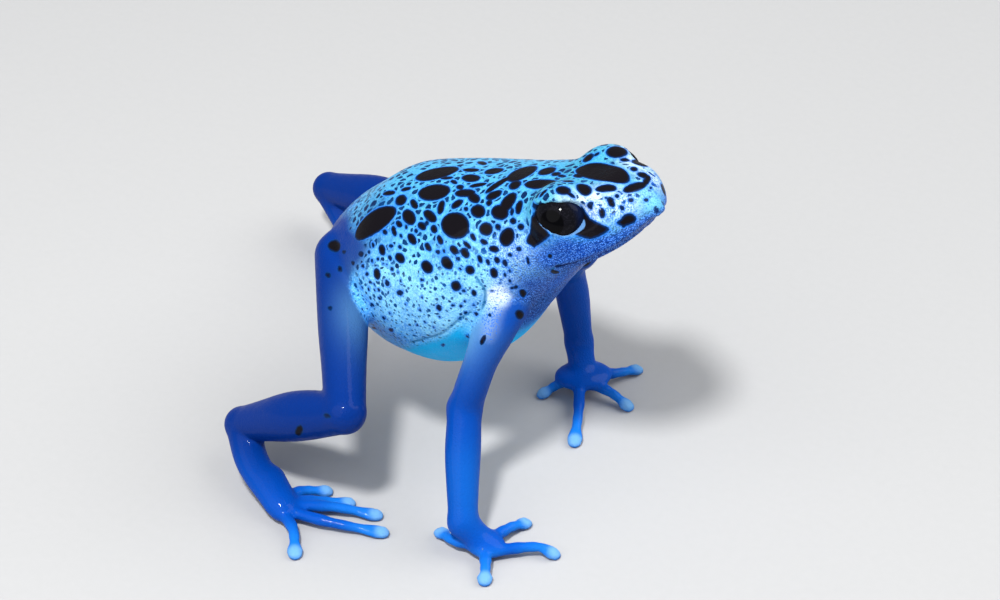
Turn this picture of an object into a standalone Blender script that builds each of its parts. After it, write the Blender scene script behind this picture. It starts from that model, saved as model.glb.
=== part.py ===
"""Blue poison dart frog, a life-size still model standing alert on all four feet.

Lengths are in millimetres and each finished node is scaled to metres.
+X is forward, +Y is the animal's left and +Z is up. The floor is z = 0.
"""

import math

import bmesh
import bpy
import numpy as np
from mathutils import Matrix

MM = 0.001
GAP = 0.3
SLIVER = 0.001

# Place of the whole animal over the origin
SHIFT = np.array([8.074, 2.6, 0.0])

# Body line: it rises from the vent to the snout in the middle plane
VENT = np.array([-17.6, 0.0, 16.0])
PITCH = math.radians(27.0)
BODY_LENGTH = 41.2
FORE = np.array([math.cos(PITCH), 0.0, math.sin(PITCH)])
SIDE = np.array([0.0, 1.0, 0.0])
UP = np.array([-math.sin(PITCH), 0.0, math.cos(PITCH)])

# Body sections: place, middle height, rise, drop, half width, fullness of rise and drop
BODY = np.array([
    [0.0, -0.6, 3.9, 6.2, 4.8, 2.0, 2.0],
    [4.0, -1.4, 5.2, 8.5, 6.5, 2.0, 2.0],
    [8.0, -2.3, 7.2, 10.1, 8.2, 2.1, 2.0],
    [13.0, -3.0, 9.0, 10.5, 9.5, 2.1, 2.0],
    [18.0, -3.1, 8.6, 9.5, 9.6, 2.1, 2.0],
    [23.0, -2.4, 7.2, 7.3, 8.5, 2.2, 2.0],
    [27.0, -1.6, 6.0, 5.6, 7.1, 2.3, 2.0],
    [31.0, -0.9, 4.9, 4.2, 6.4, 2.4, 2.1],
    [34.5, -0.6, 4.2, 3.2, 6.0, 2.5, 2.2],
    [38.0, -0.6, 3.5, 2.3, 5.1, 2.5, 2.3],
    [40.0, -0.6, 2.8, 1.8, 4.1, 2.4, 2.2],
    [41.2, -0.6, 2.3, 1.6, 3.3, 2.2, 2.2],
])
RUMP_ROUNDING = 6.5
SNOUT_ROUNDING = 3.6
SNOUT_FULLNESS = 0.42
NECK = 29.0
BODY_RINGS = 28
BODY_SIDES = 32

# Eyes and lids, in body terms: forward of the vent, to the side, above the body line
EYE_PLACE = (34.2, 3.9, 1.3)
EYE_RADIUS = 2.45
EYE_TURN = math.radians(14.0)
EYE_LIFT = math.radians(12.0)
LID_THICKNESS = 0.42
LID_CORNER = math.radians(68.0)
UPPER_LID = math.radians(42.0)
LOWER_LID = math.radians(60.0)
LID_LENGTH = 1.12

# Mouth, lips and nostrils, in body terms
MOUTH_CORNER = (33.0, -2.7)
MOUTH_MIDDLE = (38.9, -1.9)
MOUTH_FRONT = (41.2, -1.15)
MOUTH_GROOVE = 0.18
LIP_RADIUS = 0.5
LIP_INSET = 0.42
LIP_RISE = 0.36
NOSTRIL_PLACE = (40.5, 0.25)
NOSTRIL_SIZE = (0.34, 0.45, 0.26)

# Joints of the right arm and leg
SHOULDER_R = np.array([6.8, -5.4, 21.6])
ELBOW_R = np.array([4.6, -9.4, 10.7])
WRIST_R = np.array([8.8, -15.6, 3.0])
PALM_R = np.array([10.9, -15.0, 1.05])
HIP_R = np.array([-13.4, -4.6, 18.2])
KNEE_R = np.array([-2.9, -18.0, 12.3])
HEEL_R = np.array([-16.2, -17.4, 4.5])
BALL_R = np.array([-8.0, -21.8, 1.3])

# Joints of the left arm and leg
SHOULDER_L = np.array([7.4, 5.4, 21.8])
ELBOW_L = np.array([1.6, 12.4, 13.2])
WRIST_L = np.array([2.9, 12.8, 4.2])
PALM_L = np.array([4.6, 11.1, 1.7])
HIP_L = np.array([-13.4, 4.6, 18.2])
KNEE_L = np.array([-19.6, 16.8, 9.2])
HEEL_L = np.array([-34.0, 19.2, 5.2])
BALL_L = np.array([-26.6, 15.9, 1.4])

# Digits: root over the floor, middle knuckle and disc, as (x, y, z)
DISC_HEIGHT = 0.36
HAND_R = (
    ((10.9, -14.2, 1.0), (11.4, -11.9, 0.95), (11.9, -9.8, DISC_HEIGHT)),
    ((12.2, -15.2, 0.95), (15.2, -12.5, 0.95), (16.6, -11.9, DISC_HEIGHT)),
    ((11.6, -16.0, 0.95), (12.5, -17.2, 0.9), (13.4, -18.6, DISC_HEIGHT)),
    ((10.2, -15.6, 1.0), (8.2, -16.2, 0.9), (6.1, -15.5, DISC_HEIGHT)),
)
HAND_L = (
    ((5.4, 12.0, 1.5), (6.8, 14.2, 1.05), (7.6, 16.5, DISC_HEIGHT)),
    ((5.8, 10.8, 1.4), (8.1, 11.0, 1.05), (10.1, 10.9, DISC_HEIGHT)),
    ((5.0, 9.8, 1.4), (6.9, 6.8, 1.05), (8.9, 3.1, DISC_HEIGHT)),
    ((3.9, 10.2, 1.5), (2.9, 9.2, 1.05), (2.0, 7.7, DISC_HEIGHT)),
)
FOOT_R = (
    ((-8.5, -20.6, 1.2), (-8.0, -18.9, 1.0), (-6.5, -16.9, DISC_HEIGHT)),
    ((-7.9, -20.9, 1.2), (-6.1, -19.3, 1.0), (-3.6, -17.1, DISC_HEIGHT)),
    ((-7.5, -21.4, 1.2), (-4.1, -19.0, 1.0), (-0.4, -17.0, DISC_HEIGHT)),
    ((-7.2, -22.0, 1.1), (-3.4, -21.0, 0.95), (1.6, -18.7, DISC_HEIGHT)),
    ((-7.4, -22.5, 1.1), (-5.3, -23.6, 0.95), (-3.3, -25.8, DISC_HEIGHT)),
)
FOOT_L = (
    ((-26.0, 14.8, 1.2), (-25.0, 13.2, 1.0), (-23.6, 11.6, DISC_HEIGHT)),
    ((-25.6, 15.2, 1.2), (-23.5, 13.7, 1.0), (-21.0, 12.4, DISC_HEIGHT)),
    ((-25.3, 15.8, 1.2), (-22.2, 14.8, 1.0), (-18.2, 14.2, DISC_HEIGHT)),
    ((-25.3, 16.4, 1.1), (-21.8, 16.8, 0.95), (-16.8, 17.0, DISC_HEIGHT)),
    ((-25.7, 17.0, 1.1), (-24.0, 18.4, 0.95), (-21.8, 20.6, DISC_HEIGHT)),
)
PALM_SIZE_R = (1.9, 1.6, 0.95)
PALM_SIZE_L = (2.2, 2.9, 0.95)
FINGER_WIDTHS = (0.66, 0.54, 0.46, 0.60, 0.76, 0.68)
FINGER_HEIGHTS = (0.60, 0.50, 0.42, 0.40, 0.44, 0.40)
DIGIT_STATIONS = (0.0, 0.35, 0.70, 0.84, 0.95, 1.0)

# Colours of the nodes
SKY_BLUE = (0.055, 0.28, 0.62)
DEEP_BLUE = (0.012, 0.055, 0.36)
PALE_BLUE = (0.02, 0.10, 0.48)
BLACK = (0.004, 0.004, 0.006)


def smooth_through(at, knots, values):
    """Smooth curve through the values at the knots, without overshoot."""
    knots = np.asarray(knots, float)
    values = np.asarray(values, float)
    step = np.diff(knots)
    slope = np.diff(values) / step
    tangent = np.empty_like(values)
    tangent[0], tangent[-1] = slope[0], slope[-1]
    before, after = slope[:-1], slope[1:]
    same_way = before * after > 0
    mean = 2 * before * after / np.where(same_way, before + after, 1.0)
    tangent[1:-1] = np.where(same_way, mean, 0.0)
    place = np.clip(np.searchsorted(knots, at) - 1, 0, len(step) - 1)
    width = step[place]
    t = (at - knots[place]) / width
    return ((1 + 2 * t) * (1 - t) ** 2 * values[place]
            + t * (1 - t) ** 2 * width * tangent[place]
            + t * t * (3 - 2 * t) * values[place + 1]
            + t * t * (t - 1) * width * tangent[place + 1])


def from_body(along, aside, above):
    """Place in the room of a point given in body terms."""
    return VENT + along * FORE + aside * SIDE + above * UP


def body_section(along):
    """Middle height, rise, drop, half width and the two fullness values at one place."""
    sizes = [smooth_through(along, BODY[:, 0], BODY[:, column]) for column in range(1, 7)]
    rounding = 1.0
    if along < RUMP_ROUNDING:
        rounding = math.sqrt(1 - (1 - along / RUMP_ROUNDING) ** 2)
    from_tip = BODY_LENGTH - along
    if from_tip < SNOUT_ROUNDING:
        rounding = (1 - (1 - from_tip / SNOUT_ROUNDING) ** 2) ** SNOUT_FULLNESS
    middle, rise, drop, width, rise_fullness, drop_fullness = sizes
    return middle, rise * rounding, drop * rounding, width * rounding, rise_fullness, drop_fullness


def side_of_body(along, above):
    """Half width of the body at one height of a section."""
    middle, rise, drop, width, rise_fullness, drop_fullness = body_section(along)
    height, fullness = (rise, rise_fullness) if above > middle else (drop, drop_fullness)
    reach = min(abs(above - middle) / height, 1.0)
    return width * (1 - reach ** fullness) ** (1 / fullness)


def mesh_object(name, vertices, faces):
    """Object from points in millimetres, with faces turned outward."""
    mesh = bpy.data.meshes.new(name)
    mesh.from_pydata([tuple(point) for point in vertices], [], faces)
    obj = bpy.data.objects.new(name, mesh)
    bpy.context.scene.collection.objects.link(obj)
    work = bmesh.new()
    work.from_mesh(mesh)
    bmesh.ops.recalc_face_normals(work, faces=work.faces)
    work.to_mesh(mesh)
    work.free()
    return obj


def closed_loft(name, rings):
    """Skin over rings of equal count, closed by a fan at both ends."""
    count = len(rings[0])
    vertices = [point for ring in rings for point in ring]
    faces = []
    for row in range(len(rings) - 1):
        for column in range(count):
            beside = (column + 1) % count
            low, high = row * count, (row + 1) * count
            faces.append((low + column, low + beside, high + beside, high + column))
    for ring_index in (0, len(rings) - 1):
        centre = len(vertices)
        vertices.append(np.mean(rings[ring_index], axis=0))
        start = ring_index * count
        for column in range(count):
            faces.append((start + column, start + (column + 1) % count, centre))
    return mesh_object(name, vertices, faces)


def body_shape(name, swell=0.0):
    """Whole body and head as one rounded form, swollen by a given thickness."""
    turn = np.linspace(0, 2 * math.pi, BODY_SIDES, endpoint=False)
    places = BODY_LENGTH * (1 - np.cos(np.linspace(0.06, math.pi - 0.06, BODY_RINGS))) / 2
    rings = []
    for along in places:
        middle, rise, drop, width, rise_fullness, drop_fullness = body_section(along)
        ring = []
        for angle in turn:
            level, across = math.sin(angle), math.cos(angle)
            fullness = rise_fullness if level > 0 else drop_fullness
            height = rise if level > 0 else drop
            aside = width * math.copysign(abs(across) ** (2 / fullness), across)
            above = middle + height * math.copysign(abs(level) ** (2 / fullness), level)
            ring.append(from_body(along, aside, above))
        rings.append(ring)
    obj = closed_loft(name, rings)
    if swell:
        mesh = obj.data
        moved = [vertex.co + vertex.normal * swell for vertex in mesh.vertices]
        for vertex, place in zip(mesh.vertices, moved):
            vertex.co = place
    return obj


def round_tube(name, path, stations, widths, heights, facing, rings=12, sides=14):
    """Limb or digit: oval rings across a smooth path, with a round end at both joints."""
    path = np.asarray(path, float)
    pieces = np.linalg.norm(np.diff(path, axis=0), axis=1)
    knots = np.concatenate([[0.0], np.cumsum(pieces)])
    length = knots[-1]

    def centre(at):
        inside = min(max(at, 0.0), length)
        place = np.array([smooth_through(inside, knots, path[:, axis]) for axis in range(3)])
        return place + (at - inside) * direction(inside)

    def direction(at):
        low, high = max(at - 0.05 * length, 0.0), min(at + 0.05 * length, length)
        ends = [np.array([smooth_through(place, knots, path[:, axis]) for axis in range(3)])
                for place in (low, high)]
        return (ends[1] - ends[0]) / np.linalg.norm(ends[1] - ends[0])

    cap_angles = np.radians([18.0, 42.0, 66.0])
    first, last = widths[0], widths[-1]
    places = [(-first * math.cos(angle), math.sin(angle)) for angle in cap_angles]
    places += [(at, 1.0) for at in np.linspace(0, length, rings)]
    places += [(length + last * math.cos(angle), math.sin(angle)) for angle in cap_angles[::-1]]
    turn = np.linspace(0, 2 * math.pi, sides, endpoint=False)
    result = []
    for at, shrink in places:
        inside = min(max(at, 0.0), length)
        along = direction(inside)
        upright = np.asarray(facing, float) - along * np.dot(along, facing)
        upright /= np.linalg.norm(upright)
        across = np.cross(upright, along)
        width = smooth_through(inside / length, stations, widths) * shrink
        height = smooth_through(inside / length, stations, heights) * shrink
        middle = centre(at)
        result.append([middle + width * math.cos(a) * across + height * math.sin(a) * upright
                       for a in turn])
    return closed_loft(name, result)


def ellipsoid(name, centre, axes, sizes, segments=20, rows=12):
    """Closed oval ball with its three half sizes along the given axes."""
    rings = []
    for level in np.linspace(0, math.pi, rows + 1)[1:-1]:
        rings.append([centre + axes[0] * sizes[0] * math.sin(level) * math.cos(turn)
                      + axes[1] * sizes[1] * math.sin(level) * math.sin(turn)
                      + axes[2] * sizes[2] * math.cos(level)
                      for turn in np.linspace(0, 2 * math.pi, segments, endpoint=False)])
    return closed_loft(name, rings)


def apply_modifiers(obj):
    """Replace the object's mesh with the finished result of its modifiers."""
    graph = bpy.context.evaluated_depsgraph_get()
    finished = bpy.data.meshes.new_from_object(obj.evaluated_get(graph))
    obj.modifiers.clear()
    old = obj.data
    obj.data = finished
    bpy.data.meshes.remove(old)


def unite(base, pieces):
    """Join closed pieces to the base in one union and remove them."""
    group = bpy.data.collections.new(base.name + "_pieces")
    for piece in pieces:
        group.objects.link(piece)
    union = base.modifiers.new("union", "BOOLEAN")
    union.operation = "UNION"
    union.solver = "EXACT"
    union.operand_type = "COLLECTION"
    union.collection = group
    apply_modifiers(base)
    for piece in pieces:
        bpy.data.objects.remove(piece)
    bpy.data.collections.remove(group)


def carve(base, cutter):
    """Take the cutter's form out of the base and remove the cutter."""
    cut = base.modifiers.new("cut", "BOOLEAN")
    cut.operation = "DIFFERENCE"
    cut.solver = "EXACT"
    cut.object = cutter
    apply_modifiers(base)
    bpy.data.objects.remove(cutter)


def keep_beyond(obj, point, normal):
    """Cut the object flat at a plane and keep the side that the normal points to."""
    work = bmesh.new()
    work.from_mesh(obj.data)
    geometry = list(work.verts) + list(work.edges) + list(work.faces)
    bmesh.ops.bisect_plane(work, geom=geometry, dist=1e-5, plane_co=tuple(point),
                           plane_no=tuple(normal), clear_inner=True)
    rim = [edge for edge in work.edges if edge.is_boundary]
    bmesh.ops.holes_fill(work, edges=rim, sides=0)
    bmesh.ops.recalc_face_normals(work, faces=work.faces)
    work.to_mesh(obj.data)
    work.free()


def joint_plane(before, joint, after):
    """Direction of the plane that halves the bend of a limb at a joint."""
    incoming = (joint - before) / np.linalg.norm(joint - before)
    outgoing = (after - joint) / np.linalg.norm(after - joint)
    both = incoming + outgoing
    return both / np.linalg.norm(both)


def split_joint(upper, lower, joint, normal):
    """Part two limb pieces at a joint by flat faces that stand a gap apart."""
    keep_beyond(upper, joint - normal * GAP / 2, -normal)
    keep_beyond(lower, joint + normal * GAP / 2, normal)


def largest_surface(obj):
    """Keep only the largest closed surface and clean its finest slivers."""
    work = bmesh.new()
    work.from_mesh(obj.data)
    bmesh.ops.remove_doubles(work, verts=work.verts, dist=SLIVER)
    bmesh.ops.dissolve_degenerate(work, edges=work.edges, dist=SLIVER)
    unseen = set(work.verts)
    groups = []
    while unseen:
        queue = [unseen.pop()]
        group = set(queue)
        while queue:
            for edge in queue.pop().link_edges:
                for vertex in edge.verts:
                    if vertex in unseen:
                        unseen.remove(vertex)
                        group.add(vertex)
                        queue.append(vertex)
        groups.append(group)
    groups.sort(key=len)
    for group in groups[:-1]:
        bmesh.ops.delete(work, geom=list(group), context="VERTS")
    bmesh.ops.recalc_face_normals(work, faces=work.faces)
    work.to_mesh(obj.data)
    work.free()


def finish(obj, colour, roughness):
    """Put a node in its place in metres, with its material and smooth shading."""
    material = bpy.data.materials.new(obj.name)
    material.use_nodes = True
    shader = material.node_tree.nodes["Principled BSDF"]
    shader.inputs["Base Color"].default_value = (*colour, 1.0)
    shader.inputs["Roughness"].default_value = roughness
    shader.inputs["Metallic"].default_value = 0.0
    obj.data.transform(Matrix.Scale(MM, 4) @ Matrix.Translation(SHIFT))
    obj.data.materials.clear()
    obj.data.materials.append(material)
    obj.data.shade_smooth()
    obj.data.set_sharp_from_angle(angle=math.radians(40.0))


def eye_frame(side):
    """Centre of an eye and its three axes: outward, forward and up."""
    centre = from_body(EYE_PLACE[0], side * EYE_PLACE[1], EYE_PLACE[2])
    outward = math.cos(EYE_TURN) * side * SIDE + math.sin(EYE_TURN) * FORE
    outward = math.cos(EYE_LIFT) * outward + math.sin(EYE_LIFT) * UP
    forward = FORE - outward * np.dot(FORE, outward)
    forward /= np.linalg.norm(forward)
    upward = np.cross(outward, forward) * -side
    return centre, outward, forward, upward


def lid_opening(side):
    """Cone from the middle of the eye through the opening between the two lids."""
    centre, outward, forward, upward = eye_frame(side)
    rings = []
    for reach in (0.2, 2.0 * EYE_RADIUS):
        ring = []
        for angle in np.linspace(0, 2 * math.pi, 24, endpoint=False):
            level = math.sin(angle)
            most = UPPER_LID if level > 0 else LOWER_LID
            lean = math.atan(1 / math.hypot(math.cos(angle) / math.tan(LID_CORNER),
                                            level / math.tan(most)))
            rim = math.cos(angle) * forward + level * upward
            ring.append(centre + reach * (math.cos(lean) * outward + math.sin(lean) * rim))
        rings.append(ring)
    return closed_loft("opening", rings)


def mouth_path(rise, inset):
    """Line round the snout from corner to corner, above or below the mouth line."""
    knots, heights = zip(MOUTH_CORNER, MOUTH_MIDDLE, MOUTH_FRONT)
    half = []
    for along in np.linspace(MOUTH_CORNER[0], BODY_LENGTH - 0.001, 400):
        above = smooth_through(min(along, MOUTH_FRONT[0]), knots, heights) + rise
        aside = side_of_body(along, above)
        half.append((along, aside, above))
        if aside <= 0:
            break
    half = np.array(half)
    half[-1, 1] = 0.0
    run = np.concatenate([[0.0], np.cumsum(np.linalg.norm(np.diff(half, axis=0), axis=1))])
    spaced = np.linspace(0, run[-1], 12)
    half = np.stack([np.interp(spaced, run, half[:, axis]) for axis in range(3)], axis=1)
    inward = half[:, 1] / (half[:, 1] + 1.0)
    half[:, 1] -= inset * inward
    half[:, 0] -= inset * (1 - inward)
    right = [from_body(along, -aside, above) for along, aside, above in half[:-1]]
    left = [from_body(along, aside, above) for along, aside, above in half[::-1]]
    return right + left


def make_torso_and_head():
    """Torso and head parted at the neck, with lids, lips, mouth line and nostrils."""
    torso = body_shape("torso")
    head = body_shape("head")
    neck = from_body(NECK, 0.0, 0.0)
    split_joint(torso, head, neck, FORE)
    pieces = []
    for side, word in ((-1, "right"), (1, "left")):
        centre, outward, forward, upward = eye_frame(side)
        radius = EYE_RADIUS + GAP + LID_THICKNESS
        pieces.append(ellipsoid("lids_" + word, centre, (forward, upward, outward),
                                (radius * LID_LENGTH, radius, radius)))
    lip = LIP_RADIUS * np.array([0.5, 1.0, 0.8, 1.0, 0.5])
    for name, rise in (("upper_lip", LIP_RISE), ("lower_lip", -LIP_RISE)):
        pieces.append(round_tube(name, mouth_path(rise, LIP_INSET), (0.0, 0.15, 0.5, 0.85, 1.0),
                                 lip, lip, UP, rings=24, sides=8))
    unite(head, pieces)
    for side in (-1, 1):
        centre, outward, forward, upward = eye_frame(side)
        radius = EYE_RADIUS + GAP
        carve(head, lid_opening(side))
        carve(head, ellipsoid("socket", centre, (forward, upward, outward), (radius,) * 3))
        along, above = NOSTRIL_PLACE
        aside = side * side_of_body(along, above)
        carve(head, ellipsoid("nostril", from_body(along, aside, above), (FORE, SIDE, UP),
                              NOSTRIL_SIZE, 8, 6))
    groove = (MOUTH_GROOVE, MOUTH_GROOVE)
    carve(head, round_tube("mouth_line", mouth_path(0.0, 0.0), (0.0, 1.0), groove, groove, UP,
                           rings=26, sides=6))
    return torso, head


def make_eye(side, word):
    """Round eye that sits a gap inside its socket."""
    centre, outward, forward, upward = eye_frame(side)
    return ellipsoid("eye_" + word, centre, (forward, upward, outward), (EYE_RADIUS,) * 3)


def digit_shapes(name, digits):
    """Fingers or toes with a flattened disc at each tip."""
    return [round_tube(name, digit, DIGIT_STATIONS, FINGER_WIDTHS, FINGER_HEIGHTS,
                       (0.0, 0.0, 1.0), rings=10, sides=8) for digit in digits]


def make_arm(word, shoulder, elbow, wrist, palm, palm_size, digits, bow):
    """Upper arm, forearm and hand, parted at the elbow and the wrist."""
    upper = round_tube("upper_arm_" + word, (shoulder, (shoulder + elbow) / 2 + bow, elbow),
                       (0.0, 0.25, 0.6, 1.0), (2.1, 1.95, 1.6, 1.58), (2.1, 1.9, 1.55, 1.58),
                       FORE)
    forearm = round_tube("forearm_" + word, (elbow, (elbow + wrist) / 2 + 0.2 * bow, wrist),
                         (0.0, 0.35, 0.7, 1.0), (1.58, 1.75, 1.55, 1.4), (1.58, 1.65, 1.5, 1.3),
                         FORE)
    hand = round_tube("hand_" + word, (wrist, (wrist + palm) / 2, palm), (0.0, 0.5, 1.0),
                      (1.4, 1.4, 1.4), (1.3, 1.15, 0.95), (0.3, 0.0, 1.0), rings=8)
    split_joint(upper, forearm, elbow, joint_plane(shoulder, elbow, wrist))
    split_joint(forearm, hand, wrist, joint_plane(elbow, wrist, palm))
    reach = (palm - wrist) * np.array([1.0, 1.0, 0.0])
    reach /= np.linalg.norm(reach)
    tilt = np.array([0.0, 0.0, 1.0])
    pad = ellipsoid("pad", palm, (reach, np.cross(tilt, reach), tilt), palm_size, 16, 10)
    unite(hand, [pad] + digit_shapes("finger", digits))
    keep_beyond(hand, np.zeros(3), np.array([0.0, 0.0, 1.0]))
    return upper, forearm, hand


def make_leg(word, hip, knee, heel, ball, digits, shank_bow, tarsus_bow):
    """Thigh, shank, tarsus and foot, parted at the knee, the heel and the ball."""
    thigh = round_tube("thigh_" + word, (hip, (hip + knee) / 2, knee), (0.0, 0.45, 0.75, 1.0),
                       (2.6, 2.5, 2.2, 1.95), (2.6, 2.4, 2.1, 1.95), (1.0, 0.0, 0.0), sides=18)
    shank = round_tube("shank_" + word, (knee, (knee + heel) / 2 + shank_bow, heel),
                       (0.0, 0.45, 0.8, 1.0), (1.95, 2.45, 2.05, 1.7), (1.95, 2.4, 1.95, 1.7),
                       (0.0, 0.0, 1.0), sides=18)
    tarsus = round_tube("tarsus_" + word, (heel, (heel + ball) / 2 + tarsus_bow, ball),
                        (0.0, 0.2, 0.6, 1.0), (1.7, 1.65, 1.6, 1.5), (1.7, 1.55, 1.35, 1.15),
                        (0.0, 0.0, 1.0))
    forward = (ball - heel) / np.linalg.norm(ball - heel)
    foot = round_tube("foot_" + word, (ball - 3.0 * forward, ball, ball + 0.5 * forward),
                      (0.0, 0.8, 1.0), (1.52, 1.5, 1.2), (1.2, 1.1, 0.95), (0.0, 0.0, 1.0),
                      rings=6)
    split_joint(thigh, shank, knee, joint_plane(hip, knee, heel))
    split_joint(shank, tarsus, heel, joint_plane(knee, heel, ball))
    split_joint(tarsus, foot, ball - 1.9 * forward, forward)
    unite(foot, digit_shapes("toe", digits))
    keep_beyond(foot, np.zeros(3), np.array([0.0, 0.0, 1.0]))
    return thigh, shank, tarsus, foot


def main():
    """Build every node of the frog."""
    for obj in list(bpy.data.objects):
        bpy.data.objects.remove(obj)
    torso, head = make_torso_and_head()
    nodes = [(torso, SKY_BLUE), (head, SKY_BLUE)]
    eyes = [make_eye(-1, "right"), make_eye(1, "left")]
    arms = [
        make_arm("right", SHOULDER_R, ELBOW_R, WRIST_R, PALM_R, PALM_SIZE_R, HAND_R,
                 np.array([0.0, -0.9, -0.2])),
        make_arm("left", SHOULDER_L, ELBOW_L, WRIST_L, PALM_L, PALM_SIZE_L, HAND_L,
                 np.array([0.0, 0.6, -0.2])),
    ]
    legs = [
        make_leg("right", HIP_R, KNEE_R, HEEL_R, BALL_R, FOOT_R,
                 np.array([0.0, 0.1, 0.2]), np.array([-0.85, -0.3, -0.1])),
        make_leg("left", HIP_L, KNEE_L, HEEL_L, BALL_L, FOOT_L,
                 np.array([0.0, 0.0, 0.2]), np.array([0.0, 0.0, -0.1])),
    ]
    for limb in arms + legs:
        carve(limb[0], body_shape("clearance", swell=GAP))
        nodes += [(piece, DEEP_BLUE) for piece in limb[:-1]]
        nodes.append((limb[-1], PALE_BLUE))
    for node, colour in nodes:
        largest_surface(node)
        finish(node, colour, 0.3)
    for eye in eyes:
        largest_surface(eye)
        finish(eye, BLACK, 0.05)


main()
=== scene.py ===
"""Blue poison dart frog, a still life-size museum model: one skin, two eyes and a plain stage.

Forms are worked out in millimetres in the model's own frame before it is shifted over the
origin, and written to the meshes in metres. +X is forward, +Y is the animal's left and +Z is up.
"""

import math

import bpy
import numpy as np
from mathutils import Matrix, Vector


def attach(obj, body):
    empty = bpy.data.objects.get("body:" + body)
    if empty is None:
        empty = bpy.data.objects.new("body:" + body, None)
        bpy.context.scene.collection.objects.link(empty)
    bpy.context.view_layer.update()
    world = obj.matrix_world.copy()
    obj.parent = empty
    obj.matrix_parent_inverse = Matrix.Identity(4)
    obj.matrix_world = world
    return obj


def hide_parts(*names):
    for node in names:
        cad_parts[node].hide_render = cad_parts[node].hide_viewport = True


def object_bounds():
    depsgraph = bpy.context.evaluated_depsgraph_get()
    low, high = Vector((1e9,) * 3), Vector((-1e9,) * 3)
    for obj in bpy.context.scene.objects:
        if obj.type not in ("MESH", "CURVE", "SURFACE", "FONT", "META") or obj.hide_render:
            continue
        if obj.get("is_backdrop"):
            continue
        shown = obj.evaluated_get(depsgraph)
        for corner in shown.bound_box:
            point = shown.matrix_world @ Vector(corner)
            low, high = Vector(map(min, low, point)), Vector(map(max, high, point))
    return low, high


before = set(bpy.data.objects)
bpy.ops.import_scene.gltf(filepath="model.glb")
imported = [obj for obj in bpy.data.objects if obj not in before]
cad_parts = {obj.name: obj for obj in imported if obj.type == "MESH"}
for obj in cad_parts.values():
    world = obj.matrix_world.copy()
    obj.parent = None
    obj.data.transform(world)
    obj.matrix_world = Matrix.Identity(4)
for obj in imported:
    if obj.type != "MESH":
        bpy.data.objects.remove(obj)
CAD_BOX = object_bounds()

bl_info = {
    "name": "Blue Poison Dart Frog",
    "version": (1, 0, 0),
    "blender": (4, 5, 0),
    "location": "3D View > Sidebar > Frog",
    "description": "Skin, eyes and stage of a life-size blue poison dart frog",
    "category": "Object",
}

MM = 0.001
SHIFT = np.array([8.074, 2.6, 0.0])
RIGHT, LEFT = -1, 1
SEED = 11

# Body line: it rises from the vent to the snout in the middle plane
VENT = np.array([-17.6, 0.0, 16.0])
PITCH = math.radians(27.0)
BODY_LENGTH = 40.85
FORE = np.array([math.cos(PITCH), 0.0, math.sin(PITCH)])
SIDE = np.array([0.0, 1.0, 0.0])
UP = np.array([-math.sin(PITCH), 0.0, math.cos(PITCH)])
FLOOR_UP = np.array([0.0, 0.0, 1.0])
MIRROR = np.array([1.0, -1.0, 1.0])

# Body sections: place, middle height, rise, drop, half width, fullness of rise and drop
BODY = np.array([
    [0.0, -0.6, 3.9, 6.2, 4.8, 2.0, 2.0],
    [4.0, -1.4, 5.2, 8.5, 6.5, 2.0, 2.0],
    [8.0, -2.3, 7.2, 10.1, 8.2, 2.1, 2.0],
    [13.0, -3.0, 9.0, 10.5, 9.5, 2.1, 2.0],
    [18.0, -3.1, 8.6, 9.5, 9.6, 2.1, 2.0],
    [23.0, -2.4, 7.2, 7.3, 8.5, 2.2, 2.0],
    [27.0, -1.6, 6.0, 5.6, 7.1, 2.3, 2.0],
    [31.0, -0.9, 4.9, 4.2, 6.4, 2.4, 2.1],
    [34.5, -0.6, 4.2, 3.2, 6.0, 2.5, 2.2],
    [38.0, -0.6, 3.5, 2.1, 5.1, 2.5, 2.3],
    [39.8, -0.6, 2.8, 1.55, 4.0, 2.4, 2.2],
    [40.85, -0.6, 2.3, 1.35, 3.2, 2.2, 2.2],
])
RUMP_ROUNDING = 6.5
SNOUT_ROUNDING = 3.6
SNOUT_FULLNESS = 0.42

# Eyes and lids, in body terms: forward of the vent, to the side, above the body line
EYE_PLACE = (33.75, 4.1, 1.25)
EYE_TURN = math.radians(14.0)
EYE_LIFT = math.radians(12.0)
CORNEA_SPREAD = 0.7
LID_RADIUS = 3.12
LID_LENGTH = 1.12
LID_INSET = 0.42
CUP_DEPTH = 0.35
RIM_RADIUS = 0.11
RIM_LEAST = 0.02
RIM_BLEND = 0.12
RIM_PAST, RIM_OUT = 0.06, 0.02
RIM_HIDDEN, RIM_WHOLE = -0.25, 0.3
OPENING_WAVES = 8
EYE_FOCUS = 0.42
EYE_FOCUS_REACH = 2.2

# Mouth, lips and nostrils, in body terms
MOUTH_CORNER = (31.9, -2.95)
MOUTH_MIDDLE = (38.9, -1.9)
MOUTH_FRONT = (40.85, -1.15)
MOUTH_GROOVE = 0.15
LIP_STATIONS = (0.0, 0.15, 0.5, 0.85, 1.0)
LIP_SIZES = (0.25, 0.5, 0.175, 0.5, 0.25)
LIP_INSET = 0.42
LIP_RISE = 0.36
NOSTRIL = (655.8, 210)
NOSTRIL_BUMP = (0.5, 0.42, 0.55)
NOSTRIL_SIZE = (0.13, 0.30, 0.34)
# How far the painted shade of the nostrils reaches past the holes
NOSTRIL_SHADE_REACH = 0.03
NOSTRIL_BUMP_BLEND, NOSTRIL_BLEND = 0.6, 0.12

# Joints of the right arm and leg
SHOULDER_R = np.array([6.8, -5.4, 21.6])
ELBOW_R = np.array([4.6, -9.4, 10.7])
WRIST_R = np.array([8.8, -15.6, 3.0])
PALM_R = np.array([10.9, -15.0, 1.05])
HIP_R = np.array([-13.4, -4.6, 18.2])
KNEE_R = np.array([-2.9, -18.0, 12.3])
HEEL_R = np.array([-16.2, -17.4, 4.5])
BALL_R = np.array([-8.0, -21.8, 1.3])

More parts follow.
